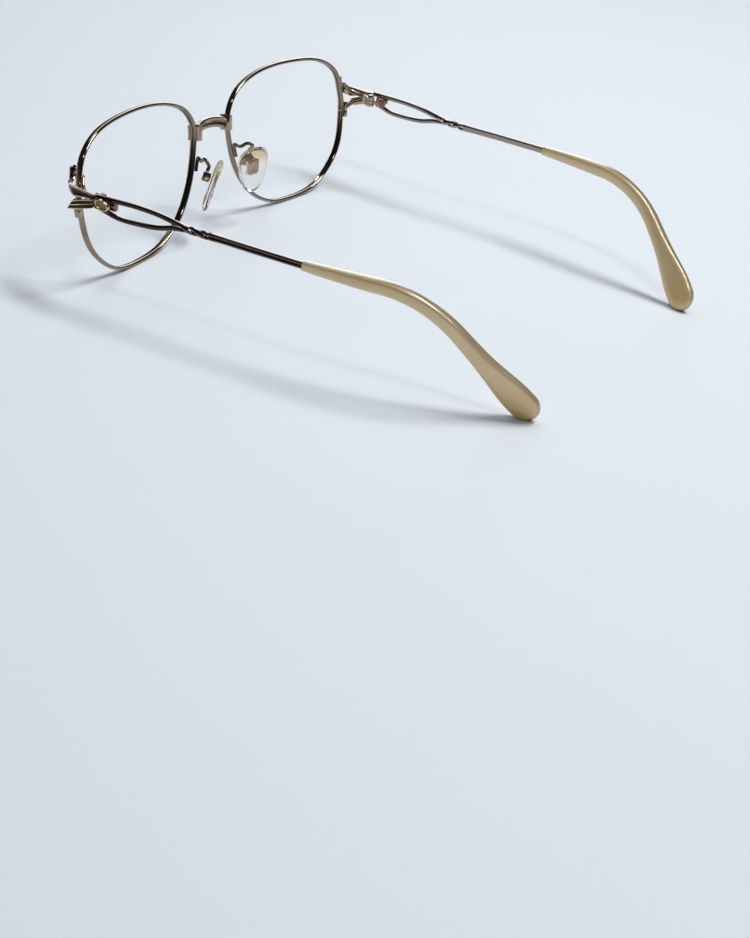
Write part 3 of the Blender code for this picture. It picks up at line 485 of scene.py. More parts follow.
# The end piece divides in two grooved branches, which are brazed to the back of the rim above and
# below the closing blocks and run together to the hinge.
UP = Vector((0, 0, 1))
BACK = Vector((0, 1, 0))
HINGE = Vector((0.064779, -0.050907, 0.02655))
BRANCH_HEIGHT = 0.0013
BRANCH_THICKNESS = 0.0009
BRANCH_DEPTH = 0.00175
BRANCH_END = Vector((0.0010, -0.0034, 0))
BRANCH_LAP = 0.00185
BRANCH_OUTSET = 0.0004
BRANCH_SPACING = 0.000725
BRANCH_STATIONS = ((0, 0.45), (0.3, 0.9), (0.6, 1), (1, 1))
BRANCHES = (("upper_branch", "endpiece_upper_branch", 0.0098, 1, (0.0003, -0.0010, -0.0007)),
            ("lower_branch", "endpiece_lower_branch", 0.0023, -1, (0.0001, -0.0006, 0.0004)))
GROOVED_QUARTER = ((1.0, 0.0), (0.97, 0.34), (0.88, 0.64), (0.72, 0.90), (0.52, 1.0), (0.30, 0.94),
                   (0.13, 0.74), (0.0, 0.64))
GROOVED_RIDGE = (1.0, 1.0, 1.0, 1.0, 1.0, 0.7, 0.2, 0.0)
BAR_STEPS = 6


def beside_rim(side, height, outset, depth):
    """A place beside the eye wire at a height, on its temple side (1) or its nose side (-1)."""
    for here, following in zip(outline, outline[1:] + outline[:1]):
        if here.x * side > 0 and (here.y - height) * (following.y - height) < 0:
            point = here.lerp(following, (height - here.y) / (following.y - here.y))
            along = (following - here).normalized()
            away = Vector((along.y, -along.x)) * (1 if along.y * side > 0 else -1)
            return on_lens(point.x + away.x * outset, point.y + away.y * outset, depth)


def bar_rings(stations, section, steps=BAR_STEPS, square=True):
    """Rings of a bar whose section follows the stations.

    A station is centre, width, thickness and the direction of the width, and the section's
    points run from -1 to 1 across the width and across the thickness. Unless the sections are
    square to the bar, they slant with the direction of the width.
    """
    rows = smooth([(*centre, width, thickness, *axis)
                   for centre, width, thickness, axis in stations], steps)
    centres = [Vector(row[:3]) for row in rows]
    rings = []
    for i, row in enumerate(rows):
        along = (centres[min(i + 1, len(rows) - 1)] - centres[max(i - 1, 0)]).normalized()
        across = Vector(row[5:8])
        if square:
            across -= across.dot(along) * along
        across.normalize()
        through = along.cross(across).normalized()
        rings.append([centres[i] + across * a * row[3] / 2 + through * b * row[4] / 2
                      for a, b in section])
    return rings


def four_quarters(quarter):
    """A whole section, and its ridge marks, from a quarter that runs from its side to its front."""
    half = list(quarter) + [(-a, b) for a, b in reversed(quarter[:-1])]
    return half + [(a, -b) for a, b in reversed(half[1:-1])]


grooved_section = four_quarters(GROOVED_QUARTER)
half_ridge = list(GROOVED_RIDGE) + list(reversed(GROOVED_RIDGE[:-1]))
grooved_ridge = half_ridge + list(reversed(half_ridge[1:-1]))
for name, node, rise, side, bulge in BRANCHES:
    foot = beside_rim(1, rise, BRANCH_OUTSET, BRANCH_DEPTH)
    end = HINGE + BRANCH_END + UP * side * BRANCH_SPACING
    stations = []
    for share, size in BRANCH_STATIONS:
        place = foot.lerp(end, share) + Vector(bulge) * math.sin(math.pi * share)
        stations.append((place, BRANCH_HEIGHT * size, BRANCH_THICKNESS * size, UP))
    stations.append((end + BACK * BRANCH_LAP, BRANCH_HEIGHT, BRANCH_THICKNESS, UP))
    # The grooves take painted shade from the tan plating's hollow colour.
    fitted(skin(name, bar_rings(stations, grooved_section), grooved_ridge), node, "front",
           tan_metal)


# A ribbon lies as a leaf on the outside of the rim, folds over and runs back to the hinge.
# Its two long edges are raised and paler than its dark middle: painted highlight on the edges,
# painted shade in the middle.
RIBBON_SEAT = 0.00095
RIBBON_SETFORWARD = 0.0011
RIBBON_WIDTH = 0.0022
RIBBON_THICKNESS = 0.0006
RIBBON_TOP_RISE = 0.0118
RIBBON_FOLD_RISE = 0.0088
RIBBON_FOLD_OUTSET = 0.0016
RIBBON_TURN_HEIGHT = 0.0034
RIBBON_TURN_SETBACK = 0.0034
RIBBON_TURN_OUTSET = 3.5 * RIBBON_THICKNESS
RIBBON_REAR_HEIGHT = 0.0011
LEAF_POINT = (0.25 * RIBBON_WIDTH, 0.35 * RIBBON_THICKNESS, BACK)
LEAF_SHOULDER_DROP = 0.25 * RIBBON_WIDTH
LEAF_SHOULDER = (0.6 * RIBBON_WIDTH, 0.9 * RIBBON_THICKNESS, BACK)
LEAF_MIDDLE_RISE = (RIBBON_TOP_RISE + RIBBON_FOLD_RISE) / 2 + 0.3 * RIBBON_WIDTH
LEAF_MIDDLE = (0.9 * RIBBON_WIDTH, RIBBON_THICKNESS, BACK)
RIBBON_FOLD = (RIBBON_WIDTH, RIBBON_THICKNESS, BACK + 0.8 * UP)
RIBBON_TURN = (RIBBON_TURN_HEIGHT, RIBBON_THICKNESS, UP - 0.5 * BACK)
HALFWAY_SHARE = 0.4
RIBBON_HALFWAY = (0.65 * RIBBON_TURN_HEIGHT, 1.3 * RIBBON_THICKNESS, UP)
ORNAMENT_REAR = Vector((0.0027, -0.0008, -0.0003))
ORNAMENT_REAR_THICKNESS = 0.0014
FAN_REAR_HEIGHT = 0.0022
ORNAMENT_SPACING = 0.00015
RIBBON_SECTION = ((1.0, 0.3), (0.97, 0.78), (0.86, 1.0), (0.68, 0.95), (0.52, 0.42), (0.38, 0.16),
                  (0.0, 0.1))
RIBBON_RIDGE = (1.0, 1.0, 1.0, 1.0, 0.25, 0.0, 0.0)
# Painted highlight: the ribbon's ridges, its raised edges and its back, are a paler bronze than the
# rims.
RIBBON_HIGHLIGHT_BRONZE = (0.47, 0.365, 0.290, 1)
RIBBON_HIGHLIGHT_WORN = (0.55, 0.430, 0.345, 1)
RIBBON_ROUGHNESS = 0.14
PLAIN_BACK = ((-1.0, -0.6), (-0.85, -1.0), (0.85, -1.0), (1.0, -0.6))


def backed(front, ridge):
    """A section with a mirrored front and a plain back, and its ridge marks."""
    whole = list(front) + [(-a, b) for a, b in reversed(front[:-1])]
    marks = list(ridge) + list(reversed(ridge[:-1]))
    return whole + list(PLAIN_BACK), marks + [1.0] * len(PLAIN_BACK)


fold = beside_rim(1, RIBBON_FOLD_RISE, RIBBON_FOLD_OUTSET, -RIBBON_SETFORWARD)
rear = HINGE + ORNAMENT_REAR + UP * ((FAN_REAR_HEIGHT + RIBBON_REAR_HEIGHT) / 2 + ORNAMENT_SPACING)
turn = Vector((fold.x + RIBBON_TURN_OUTSET, DATUM.y + RIBBON_TURN_SETBACK,
               fold.z - RIBBON_TURN_HEIGHT / 2))
leaf_top = beside_rim(1, RIBBON_TOP_RISE, RIBBON_SEAT, -RIBBON_SETFORWARD)
leaf_middle = beside_rim(1, LEAF_MIDDLE_RISE, RIBBON_SEAT + RIBBON_THICKNESS, -RIBBON_SETFORWARD)
stations = [(leaf_top, *LEAF_POINT),
            (leaf_top - LEAF_SHOULDER_DROP * UP, *LEAF_SHOULDER),
            (leaf_middle, *LEAF_MIDDLE),
            (fold, *RIBBON_FOLD),
            (turn, *RIBBON_TURN),
            (turn.lerp(rear, HALFWAY_SHARE) - UP * RIBBON_THICKNESS / 2, *RIBBON_HALFWAY),
            (rear, RIBBON_REAR_HEIGHT, ORNAMENT_REAR_THICKNESS, UP)]
ribbon_highlight_bronze = plating("ribbon_highlight_plating", BRONZE_HOLLOW_SHADE, RIBBON_HIGHLIGHT_BRONZE, RIBBON_HIGHLIGHT_WORN,
                        RIBBON_ROUGHNESS)
section, ridge = backed(RIBBON_SECTION, RIBBON_RIDGE)
fitted(skin("leaf_ribbon", bar_rings(stations, section, square=False), ridge), "endpiece_ribbon",
       "front", ribbon_highlight_bronze)


# Under the ribbon lies a fan of three thin yellow-gold ridges that spread towards the rim, with
# dark hollows between them, darkened by painted shade.
FAN_PLACE = Vector((0.06728, -0.059407, 0.02381))
FAN_HEIGHT = 0.0029
FAN_THICKNESS = 0.0006
FAN_FRONT = (FAN_HEIGHT, FAN_THICKNESS, UP + 0.6 * BACK)
FAN_MIDDLE_SHARE = 0.4
FAN_MIDDLE = (FAN_HEIGHT, 1.3 * FAN_THICKNESS, UP + 0.3 * BACK)
FAN_SECTION = ((1.0, 0.4), (0.98, 0.82), (0.90, 1.0), (0.79, 0.92), (0.70, 0.5), (0.60, 0.22),
               (0.34, 0.20), (0.22, 0.46), (0.14, 0.84), (0.0, 1.0))
FAN_RIDGE = (1.0, 1.0, 1.0, 1.0, 0.2, 0.0, 0.0, 0.2, 1.0, 1.0)
# The hollow colour is painted shade, for the valleys between ridges.
GOLD_HOLLOW_SHADE = (0.045, 0.030, 0.020, 1)
GOLD = (0.78, 0.570, 0.290, 1)
GOLD_WORN = (0.86, 0.660, 0.37, 1)
GOLD_ROUGHNESS = 0.18

gold = plating("gold_plating", GOLD_HOLLOW_SHADE, GOLD, GOLD_WORN, GOLD_ROUGHNESS)
rear = HINGE + ORNAMENT_REAR
stations = [(FAN_PLACE, *FAN_FRONT),
            (FAN_PLACE.lerp(rear, FAN_MIDDLE_SHARE), *FAN_MIDDLE),
            (rear, FAN_REAR_HEIGHT, ORNAMENT_REAR_THICKNESS, UP)]
section, ridge = backed(FAN_SECTION, FAN_RIDGE)
fitted(skin("gold_fan", bar_rings(stations, section, square=False), ridge), "endpiece_gold_fan",
       "front", gold)


# The hinges have two knuckles on the front and one on the temple, on a slotted screw. They are
# copper-brown, and the temple's leaf ends in a rounded block.
COPPER_HOLLOW_SHADE = (0.12, 0.06, 0.04, 1)
COPPER = (0.43, 0.300, 0.225, 1)
COPPER_WORN = (0.50, 0.355, 0.270, 1)
COPPER_ROUGHNESS = 0.22
BLOCK_BROWN = (0.250, 0.135, 0.080, 1)
BLOCK_BROWN_FROM = HINGE.y + 0.0031
LEAF_ROUNDING = 0.0001
REAR_LEAF_ROUNDING = 0.00022

copper = plating("copper_plating", COPPER_HOLLOW_SHADE, COPPER, COPPER_WORN, COPPER_ROUGHNESS)
screw_copper = plating("screw_plating", COPPER_HOLLOW_SHADE, COPPER, COPPER_WORN, COPPER_ROUGHNESS,
                       ridged=False)
block_copper = plating("hinge_block_plating", COPPER_HOLLOW_SHADE, COPPER, COPPER_WORN, COPPER_ROUGHNESS,
                       lacquer=BLOCK_BROWN, behind=BLOCK_BROWN_FROM)
fitted(refined("hinge_front", "hinge_front_leaf_left", LEAF_ROUNDING), "hinge_front_leaf",
       "front", copper)
fitted(refined("hinge_rear", "hinge_temple_leaf_left", REAR_LEAF_ROUNDING), "hinge_temple_leaf",
       "temple", block_copper)
fitted(refined("hinge_pin", "hinge_screw_left", SCREW_ROUNDING), "hinge_screw", "front",
       screw_copper)


# An oval cap covers the front end of each temple's wires. It is stamped with a raised rim, which
# is polished gold, round a shallow dish of a duller olive brown.
WIRE_RADIUS = 0.00067
WIRE_OUTSET = 0.0026
WIRE_GAP = 0.00015
TOE_IN_START = 0.0460
CAP_LENGTH = 0.0041
CAP_HEIGHT = 0.0026
CAP_THICKNESS = 0.0009
CAP_RIM = 0.00035
CAP_PLACE = (0.0018, 0.0004)
CAP_TILT = math.radians(20)
CAP_LEVELS = ((0, 0, 1), (0.62, 0, 1), (0.80, 0.05, 1), (0.93, 0.25, 1), (1.0, 0.6, 1),
              (0.97, 0.95, 1), (0.80, 1.2, 0.6), (0.70, 1.45, 0), (0.68, 2.2, 0), (0.68, 3.0, 0))
CAP_STEPS = 2
CAP_SIDES = 48
CAP_DISH = (0.215, 0.155, 0.088, 1)
CAP_ROUGHNESS = 0.2

cap_gold = plating("cap_plating", CAP_DISH, GOLD, GOLD_WORN, CAP_ROUGHNESS)
temple_turn = Matrix.Rotation(math.atan(2 * WIRE_OUTSET / TOE_IN_START), 3, "Z")
cap_turn = temple_turn @ Matrix.Rotation(-CAP_TILT, 3, "X")
cap_seat = HINGE + temple_turn @ Vector((WIRE_OUTSET + WIRE_RADIUS + WIRE_GAP, *CAP_PLACE))
cap_rings = []
cap_marks = []
for level, inset, mark in smooth(CAP_LEVELS, CAP_STEPS):
    ring = []
    for k in range(CAP_SIDES):
        angle = math.tau * k / CAP_SIDES
        ring.append(cap_seat + cap_turn @ Vector((
            level * CAP_THICKNESS, (CAP_LENGTH / 2 - inset * CAP_RIM) * math.cos(angle),
            (CAP_HEIGHT / 2 - inset * CAP_RIM) * math.sin(angle))))
    cap_rings.append(ring)
    cap_marks += [mark] * CAP_SIDES
cap = skin("oval_cap", cap_rings)
for share, mark in zip(cap.data.attributes["ridge"].data, cap_marks):
    share.value = mark
fitted(cap, "temple_cap", "temple", cap_gold)


# Two wires with a fine groove run from the hinge block, spread to an almond shape and twist
# once round each other. They are rose-grey inside and lacquered dark brown outside.
WIRE_START = 0.0003
UPPER_WIRE = ((0.0007, 0.0017), (0.0062, 0.0019), (0.0118, 0.0020), (0.0174, 0.0017),
              (0.0220, 0.0010))
LOWER_WIRE = ((0.0007, -0.0009), (0.0062, -0.0023), (0.0118, -0.0023), (0.0174, -0.0018),
              (0.0220, -0.0006))
KNOT_DISTANCE = 0.0281
KNOT_RISE = 0.0002
KNOT_HALF_LENGTH = 0.0034
KNOT_WIRE_WIDTH = 0.00095
KNOT_STEPS = 16
TOE_IN_RADIUS = 0.1760
WIRE_SIDES = 24
WIRE_TOP = WIRE_SIDES // 4
WIRE_BOTTOM = 3 * WIRE_SIDES // 4
WIRE_SPAN_STEPS = 4
OUTER_GROOVE = 0.86
OUTER_GROOVE_MARK = 0.0
INNER_GROOVE = 0.95
INNER_GROOVE_MARK = 0.6
FACING_OUT = (1 / 9, 2 / 3)
# The hollow colour is painted shade, for the grooves.
TAUPE_HOLLOW_SHADE = (0.190, 0.150, 0.125, 1)
TAUPE = (0.330, 0.275, 0.235, 1)
TAUPE_WORN = (0.375, 0.315, 0.270, 1)
TAUPE_ROUGHNESS = 0.14
BROWN_LACQUER = (0.110, 0.078, 0.066, 1)


def temple_outset(distance):
    """How far outside the hinge axis the temple runs, at a distance along it."""
    beyond = distance - TOE_IN_START
    if beyond < 0:
        return WIRE_OUTSET * (beyond / TOE_IN_START) ** 2
    return -beyond ** 2 / (2 * TOE_IN_RADIUS)


def round_section(count, squareness=1.0):
    """A circle's points, pushed outwards towards a square by a squareness under 1."""
    points = []
    for k in range(count):
        turned = math.tau * k / count
        points.append(tuple(math.copysign(abs(share) ** squareness, share)
                            for share in (math.cos(turned), math.sin(turned))))
    return points


def share_between(value, start, end):
    """A value as a share of the way from the start to the end, held between 0 and 1."""
    return min(max((value - start) / (end - start), 0), 1)


def faced(piece):
    """Marks how far each point of a left-hand piece faces outwards from the wearer."""
    shares = piece.data.attributes.new("outside", "FLOAT", "POINT").data
    for vertex, share in zip(piece.data.vertices, shares):
        share.value = share_between(vertex.normal.x, *FACING_OUT)
    return piece


two_tone = plating("two_tone_plating", TAUPE_HOLLOW_SHADE, TAUPE, TAUPE_WORN, TAUPE_ROUGHNESS,
                   lacquer=BROWN_LACQUER)
wire_section = round_section(WIRE_SIDES)
wire_ridge = [1.0] * WIRE_SIDES
# Each groove's point is marked low, so painted shade draws the groove as a dark line.
wire_section[WIRE_TOP] = (0, OUTER_GROOVE)
wire_ridge[WIRE_TOP] = OUTER_GROOVE_MARK
wire_section[WIRE_BOTTOM] = (0, -INNER_GROOVE)
wire_ridge[WIRE_BOTTOM] = INNER_GROOVE_MARK
for name, node, shape, side in (("almond_wire_upper", "temple_upper_wire", UPPER_WIRE, 1),
                                ("almond_wire_lower", "temple_lower_wire", LOWER_WIRE, -1)):
    places = [(WIRE_OUTSET, -WIRE_START, shape[0][1])]
    places += [(temple_outset(distance), distance, height) for distance, height in shape]
    stations = [(HINGE + Vector(place), 2 * WIRE_RADIUS, 2 * WIRE_RADIUS, UP) for place in places]
    beside = side * (KNOT_WIRE_WIDTH + WIRE_GAP) / 2
    for k in range(KNOT_STEPS + 1):
        turned = math.tau * k / KNOT_STEPS
        distance = KNOT_DISTANCE + KNOT_HALF_LENGTH * (2 * k / KNOT_STEPS - 1)
        across = Vector((math.sin(turned), 0, math.cos(turned)))
        centre = HINGE + Vector((temple_outset(distance), distance, KNOT_RISE)) + beside * across
        stations.append((centre, KNOT_WIRE_WIDTH, 2 * WIRE_RADIUS, across))
    end = stations[-1]
    stations.append((end[0] + BACK * WIRE_RADIUS, *end[1:]))
    wire = faced(skin(name, bar_rings(stations, wire_section, WIRE_SPAN_STEPS), wire_ridge))
    fitted(wire, node, "temple", two_tone)


# Behind the twist each temple is one bar with a groove along both sides. It draws down to a thin
# core that holds the plastic tip.
SHANK_HEIGHT = 0.0019
SHANK_THICKNESS = 0.0013
SHANK_GAP = 0.0003
ARCH_RISE = 0.0005
BEND_START = 0.0785
BEND_RADIUS = 0.0290
TIP_SLOPE = math.radians(45)
TIP_START = 0.0591
CORE_HEIGHT = 0.0014
CORE_THICKNESS = 0.0009
CORE_SHORT_OF_END = 0.0140
CORE_STEPS = 11
CORE_SPAN_STEPS = 2
CORE_SIDES = 28
SHANK_END = 0.55
SHANK_SHOULDER = 1.2
SHANK_SHARES = (0.15, 0.5, 1)
SHANK_SPAN_STEPS = 8
FLAT_HALF = ((0.97, 0.34), (0.88, 0.66), (0.72, 0.90), (0.52, 0.97), (0.30, 0.985), (0.13, 0.97),
             (0.0, 0.95), (-0.13, 0.97), (-0.30, 0.985), (-0.52, 0.97), (-0.72, 0.90),
             (-0.88, 0.66), (-0.97, 0.34))
PADDLE_WIDTH = 0.0078
FOOT_FLAT = 0.00012


def temple_point(distance):
    """A point on the temple's middle line behind the knot, by its distance from the hinge."""
    arch = min((distance - KNOT_DISTANCE) / (BEND_START - KNOT_DISTANCE), 1)
    rise = KNOT_RISE + ARCH_RISE * (1 - (1 - arch) ** 2)
    back = min(distance, BEND_START)
    turned = min(max((distance - BEND_START) / BEND_RADIUS, 0), TIP_SLOPE)
    back += BEND_RADIUS * math.sin(turned)
    rise -= BEND_RADIUS * (1 - math.cos(turned))
    straight = max(distance - BEND_START - BEND_RADIUS * TIP_SLOPE, 0)
    back += straight * math.cos(TIP_SLOPE)
    rise -= straight * math.sin(TIP_SLOPE)
    return HINGE + Vector((temple_outset(distance), back, rise))


def temple_along(distance):
    """The way the temple's middle line runs, at a distance from the hinge."""
    behind = temple_point(distance + WIRE_RADIUS)
    return (behind - temple_point(distance - WIRE_RADIUS)).normalized()


def core_rings(start, end, clearance):
    """Rings of the core, or of the bore round it when there is a clearance."""
    stations = []
    for k in range(CORE_STEPS + 1):
        distance = start + (end - start) * k / CORE_STEPS
        stations.append((temple_point(distance), CORE_HEIGHT + 2 * clearance,
                         CORE_THICKNESS + 2 * clearance, OUT.cross(temple_along(distance))))
    return bar_rings(stations, round_section(CORE_SIDES), CORE_SPAN_STEPS)


drop = HINGE.z + KNOT_RISE + ARCH_RISE - PADDLE_WIDTH / 2 + FOOT_FLAT
slope_length = (drop - BEND_RADIUS * (1 - math.cos(TIP_SLOPE))) / math.sin(TIP_SLOPE)
paddle_centre = BEND_START + BEND_RADIUS * TIP_SLOPE + slope_length
core_end = paddle_centre + PADDLE_WIDTH / 2 - CORE_SHORT_OF_END

shank_start = KNOT_DISTANCE + KNOT_HALF_LENGTH + WIRE_RADIUS + SHANK_GAP
shoulder = TIP_START - SHANK_GAP
stations = [(temple_point(shank_start), SHANK_END * SHANK_HEIGHT, SHANK_END * SHANK_THICKNESS, UP),
            (temple_point(shank_start + SHANK_GAP), 2 * KNOT_WIRE_WIDTH + WIRE_GAP,
             SHANK_SHOULDER * SHANK_THICKNESS, UP)]
for share in SHANK_SHARES:
    stations.append((temple_point(shank_start + (shoulder - shank_start) * share),
                     SHANK_HEIGHT, SHANK_THICKNESS, UP))
shank_section = grooved_section[:len(half_ridge)] + [(a, -b) for a, b in reversed(FLAT_HALF)]
# The groove on the grooved face is marked low, so it takes painted shade.
shank_ridge = half_ridge + [1.0] * len(FLAT_HALF)
shank_rings = bar_rings(stations, shank_section, SHANK_SPAN_STEPS)
shank_rings += core_rings(shoulder, core_end, 0)
fitted(faced(skin("grooved_shank", shank_rings, shank_ridge)), "temple_shank", "temple",
       two_tone)


# The tips are moulded in a pearly champagne plastic and slipped over the core. Each begins square,
# runs round through the bend and ends in a flat, rounded paddle.
TIP_FRONT_HEIGHT = 0.0025
TIP_FRONT_THICKNESS = 0.0021
TIP_HEIGHT = 0.0036
TIP_THICKNESS = 0.0031
TIP_SHAPE = ((0, TIP_FRONT_HEIGHT, TIP_FRONT_THICKNESS, 0.65),
             (0.25, TIP_HEIGHT, TIP_THICKNESS, 0.65),
             (0.42, TIP_HEIGHT, TIP_THICKNESS, 0.6))
PADDLE_THICKNESS = 0.0028
PADDLE_LENGTH = 0.0300
PADDLE_SQUARENESS = 0.5
PADDLE_SHAPE = ((1, TIP_HEIGHT, TIP_THICKNESS, 0.55),
                (0.5, 0.58 * PADDLE_WIDTH, TIP_THICKNESS, PADDLE_SQUARENESS),
                (0.15, 0.97 * PADDLE_WIDTH, PADDLE_THICKNESS, PADDLE_SQUARENESS),
                (0, PADDLE_WIDTH, PADDLE_THICKNESS, PADDLE_SQUARENESS))
PADDLE_END = 0.00383
PADDLE_END_THINNING = 0.4
PADDLE_END_ROUNDING = 4
CORE_CLEARANCE = 0.00008
PEARL = (0.77, 0.560, 0.285, 1)
PEARL_PALE = (0.88, 0.680, 0.395, 1)
# The edge colour is painted shade, and the amber is a painted glow.
PEARL_EDGE_SHADE = (0.370, 0.300, 0.180, 1)
PEARL_AMBER_GLOW = (0.80, 0.540, 0.215, 1)
AMBER_GLOW_TOP = 0.011
PEARL_FLOW = 0.006
PEARL_STRETCH = (1, 0.3, 1)
PEARL_SPECKLE = 0.00035
PEARL_SPECKLE_HEIGHT = 0.000006
PEARL_ROUGHNESS = 0.26
PEARL_DULLING = 0.08
PEARL_METALLIC = 0.20
PEARL_COAT_ROUGHNESS = 0.05
FACING_EDGE = (0.75, 0.295)
TIP_SPAN_STEPS = 8
PADDLE_END_TURNS = (12, 24, 35, 46, 56, 65, 73, 80, 86)

pearl = Finish("pearl_plastic", Metallic=PEARL_METALLIC, Coat_Roughness=PEARL_COAT_ROUGHNESS,
               Coat_Weight=1.0)
flow = pearl.noise(PEARL_FLOW, CLOUDY, PEARL_STRETCH)
speckle = pearl.noise(PEARL_SPECKLE, FINE)
# Painted light: the lowest part of each tip, near the table, turns amber, standing in for light
# glowing through the plastic.
amber_glow = pearl.along("Z").between(AMBER_GLOW_TOP, 0)
tone = pearl.blend(amber_glow, pearl.blend(flow, PEARL, PEARL_PALE), PEARL_AMBER_GLOW)
# Painted shade: faces that turn away from the tip's broad sides, to its top and bottom, darken to a
# dull olive.
pearl.put("Base Color", pearl.blend(pearl.marked("edge"), tone, PEARL_EDGE_SHADE))
pearl.put("Roughness", speckle * PEARL_DULLING + PEARL_ROUGHNESS)
pearl.bumped(speckle, PEARL_SPECKLE_HEIGHT)

tip_length = paddle_centre - TIP_START
sizes = [(TIP_START + share * tip_length, *shape) for share, *shape in TIP_SHAPE]
sizes += [(paddle_centre - share * PADDLE_LENGTH, *shape) for share, *shape in PADDLE_SHAPE]
rows = smooth(sizes, TIP_SPAN_STEPS)
for turned in PADDLE_END_TURNS:
    angle = math.radians(turned)
    roundness = math.sin(angle) ** PADDLE_END_ROUNDING
    rows.append((paddle_centre + PADDLE_END * math.sin(angle), PADDLE_WIDTH * math.cos(angle),
                 PADDLE_THICKNESS * math.cos(angle) ** PADDLE_END_THINNING,
                 PADDLE_SQUARENESS + (1 - PADDLE_SQUARENESS) * roundness))
tip_rings = []
for distance, height, thickness, squareness in rows:
    along = temple_along(distance)
    across = OUT.cross(along).normalized()
    through = along.cross(across)
    centre = temple_point(distance)
    tip_rings.append([centre + across * a * height / 2 + through * b * thickness / 2
                      for a, b in round_section(CORE_SIDES, squareness)])
bore_end = core_end + SHANK_GAP
tip_rings = list(reversed(tip_rings)) + core_rings(TIP_START, bore_end, CORE_CLEARANCE)
tip = skin("moulded_tip", on_table(tip_rings))
# Marks the faces that get the painted shade: those that turn away from the broad sides.
shares = tip.data.attributes.new("edge", "FLOAT", "POINT").data
for vertex, share in zip(tip.data.vertices, shares):
    share.value = share_between(abs(vertex.normal.x), *FACING_EDGE)
fitted(tip, "temple_tip", "temple", pearl.material)


# Each pad arm is a bent wire that is soldered to the back of the rim. It carries a small open
# box with a screw across it.
PAD_ARM_RADIUS = 0.0005
PAD_ARM_DEPTH = 0.0016
PAD_FOOT_TOP = 0.0016
PAD_FOOT_BOTTOM = -0.0020
PAD_ARM_DIP = 0.35
PAD_ARM_CREST = 0.7
PAD_ARM_APEX = Vector((0.0009, 0.0001, 0.0044))
PAD_ARM_STRAIGHT = 3 * PAD_ARM_RADIUS
PAD_BOX_TOP = 0.00141
PAD_TURN = (Matrix.Rotation(math.radians(27), 3, "Z") @ Matrix.Rotation(math.radians(-11), 3, "Y")
            @ Matrix.Rotation(math.radians(-13), 3, "X"))
PIVOT = Vector((0.0102, -0.057107, 0.01835))
ARM_SIDES = 16
ARM_STEPS = 6
ARM_BRONZE = (0.150, 0.112, 0.088, 1)
ARM_WORN = (0.200, 0.150, 0.118, 1)
ARM_ROUGHNESS = 0.12
BOX_ROUNDING = 0.00006
PIN_ROUNDING = 0.00003
PIN_ROUGHNESS = 0.22


def on_pad(across, back, up):
    """A place beside the pad's pivot, in the pad's own directions."""
    return PAD_TURN @ Vector((across, back, up)) + PIVOT


apex = PIVOT + PAD_ARM_APEX
foot_top = beside_rim(-1, PAD_FOOT_TOP, 0, PAD_ARM_DEPTH + PAD_ARM_RADIUS / 2)
line = [beside_rim(-1, PAD_FOOT_BOTTOM, 0, PAD_ARM_DEPTH),
        beside_rim(-1, (PAD_FOOT_BOTTOM + PAD_FOOT_TOP) / 2, 0, PAD_ARM_DEPTH),
        foot_top,
        foot_top.lerp(apex, PAD_ARM_DIP) - UP * PAD_ARM_RADIUS,
        foot_top.lerp(apex, PAD_ARM_CREST) + UP * PAD_ARM_RADIUS,
        apex,
        on_pad(0, -PAD_ARM_RADIUS, PAD_BOX_TOP + PAD_ARM_STRAIGHT),
        on_pad(0, -PAD_ARM_RADIUS, PAD_BOX_TOP + PAD_ARM_RADIUS),
        on_pad(0, -PAD_ARM_RADIUS, PAD_BOX_TOP)]
stations = [(place, 2 * PAD_ARM_RADIUS, 2 * PAD_ARM_RADIUS, OUT) for place in line]
arm_bronze = plating("arm_plating", BRONZE_HOLLOW_SHADE, ARM_BRONZE, ARM_WORN, ARM_ROUGHNESS)
pad_gold = plating("pad_gold_plating", GOLD_HOLLOW_SHADE, GOLD, GOLD_WORN, PIN_ROUGHNESS, ridged=False)
arm = skin("bent_pad_arm", bar_rings(stations, round_section(ARM_SIDES), ARM_STEPS))
fitted(arm, "pad_arm", "front", arm_bronze)
fitted(refined("open_pad_box", "pad_box_left", BOX_ROUNDING), "pad_box", "front",
       arm_bronze)
fitted(refined("pad_pin", "pad_screw_left", PIN_ROUNDING), "pad_screw", "front", pad_gold)


# The nose pads are moulded in a clear, faintly yellow plastic round a gold insert plate, whose
# stud turns on the pad screw.
PAD_LENGTH = 0.0150
PAD_WIDTH = 0.0088
PAD_THICKNESS = 0.0020
PAD_TAPER = 0.28
PAD_SQUARENESS = 0.8
PAD_PIVOT_ABOVE_CENTRE = 0.0017
PAD_FACE = 0.0012
PAD_LEVELS = ((0, 0.40), (0, 0.76), (0.06, 0.84), (0.2, 0.94), (0.5, 1.0), (0.75, 0.94),
              (0.90, 0.80), (0.97, 0.60), (1.0, 0.36), (1.005, 0.12))
INSERT_WIDTH = 0.0034
INSERT_LENGTH = 0.0050
INSERT_THICKNESS = 0.0005
INSERT_BELOW_PIVOT = 0.0006
INSERT_SQUARENESS = 0.45
INSERT_CLEARANCE = 0.00015
INSERT_SIDES = 32
INSERT_ROUNDING = 0.00004
INSERT_ROUGHNESS = 0.3
PAD_GOLD = (0.50, 0.37, 0.205, 1)
PAD_GOLD_WORN = (0.60, 0.45, 0.26, 1)
PAD_STEPS = 3
PAD_SIDES = 48
CLEAR_TINT = (0.985, 0.955, 0.890, 1)
# The amber tint is painted refraction of the arm and box behind the pad.
AMBER_REFRACTION_TINT = (0.84, 0.66, 0.43, 1)
AMBER_REFRACTION_FROM = (0.25, 0.5)
HAZE = 0.002
HAZE_DULLING = 0.08
CLEAR_ROUGHNESS = 0.03
CLEAR_IOR = 1.46
CLEAR_TRANSMISSION = 0.97


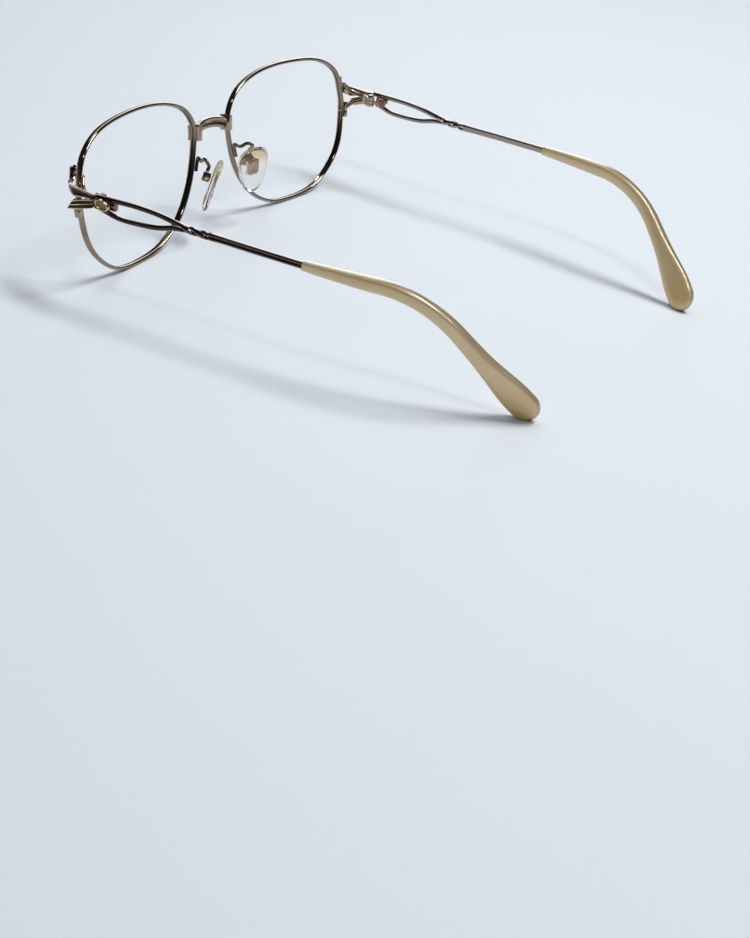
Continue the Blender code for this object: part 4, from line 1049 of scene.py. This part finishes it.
def cut_by(piece, operation, clearance, back, front):
    """Cuts a piece with a rounded block of the insert's size, and then takes the block away."""
    rings = [[on_pad((INSERT_WIDTH / 2 + clearance) * across, depth,
                     (INSERT_LENGTH / 2 + clearance) * up - INSERT_BELOW_PIVOT)
              for across, up in round_section(INSERT_SIDES, INSERT_SQUARENESS)]
             for depth in (back, front)]
    block = skin("block", rings)
    deselect()
    bpy.context.view_layer.objects.active = piece
    cavity = piece.modifiers.new("cut", "BOOLEAN")
    cavity.operation = operation
    cavity.object = block
    bpy.ops.object.modifier_apply(modifier="cut")
    bpy.data.objects.remove(block)


plate_gold = plating("insert_plating", GOLD_HOLLOW_SHADE, PAD_GOLD, PAD_GOLD_WORN, INSERT_ROUGHNESS,
                     ridged=False)
insert = refined("insert_plate", "pad_insert_left", INSERT_ROUNDING)
cut_by(insert, "INTERSECT", 0, -INSERT_LENGTH, INSERT_LENGTH)
fitted(insert, "pad_insert", "pad", plate_gold)

clear = Finish("clear_pad_plastic", IOR=CLEAR_IOR, Transmission_Weight=CLEAR_TRANSMISSION)
# Painted refraction: the upper part of the pad is tinted amber, standing in for the pad arm and box
# seen through the clear plastic.
clear.put("Base Color", clear.blend(clear.marked("upper"), CLEAR_TINT, AMBER_REFRACTION_TINT))
clear.put("Roughness", clear.noise(HAZE, FINE) * HAZE_DULLING + CLEAR_ROUGHNESS)
pad_rings = []
for level, share in smooth(PAD_LEVELS, PAD_STEPS):
    ring = []
    for across, up in round_section(PAD_SIDES, PAD_SQUARENESS):
        ring.append(on_pad(PAD_WIDTH / 2 * share * (1 + PAD_TAPER * up) * across,
                           PAD_FACE + PAD_THICKNESS * level,
                           PAD_LENGTH / 2 * share * up - PAD_PIVOT_ABOVE_CENTRE))
    pad_rings.append(ring)
nose_pad = skin("clear_nose_pad", pad_rings)
cut_by(nose_pad, "DIFFERENCE", INSERT_CLEARANCE, -INSERT_CLEARANCE,
       PAD_FACE + INSERT_THICKNESS + INSERT_CLEARANCE)
# Marks how high each point lies on the pad, for the painted refraction.
shares = nose_pad.data.attributes.new("upper", "FLOAT", "POINT").data
for vertex, share in zip(nose_pad.data.vertices, shares):
    height = (PAD_TURN.transposed() @ (vertex.co - PIVOT)).z + PAD_PIVOT_ABOVE_CENTRE
    share.value = share_between(height / (PAD_LENGTH / 2), *AMBER_REFRACTION_FROM)
fitted(nose_pad, "nose_pad", "pad", clear.material)
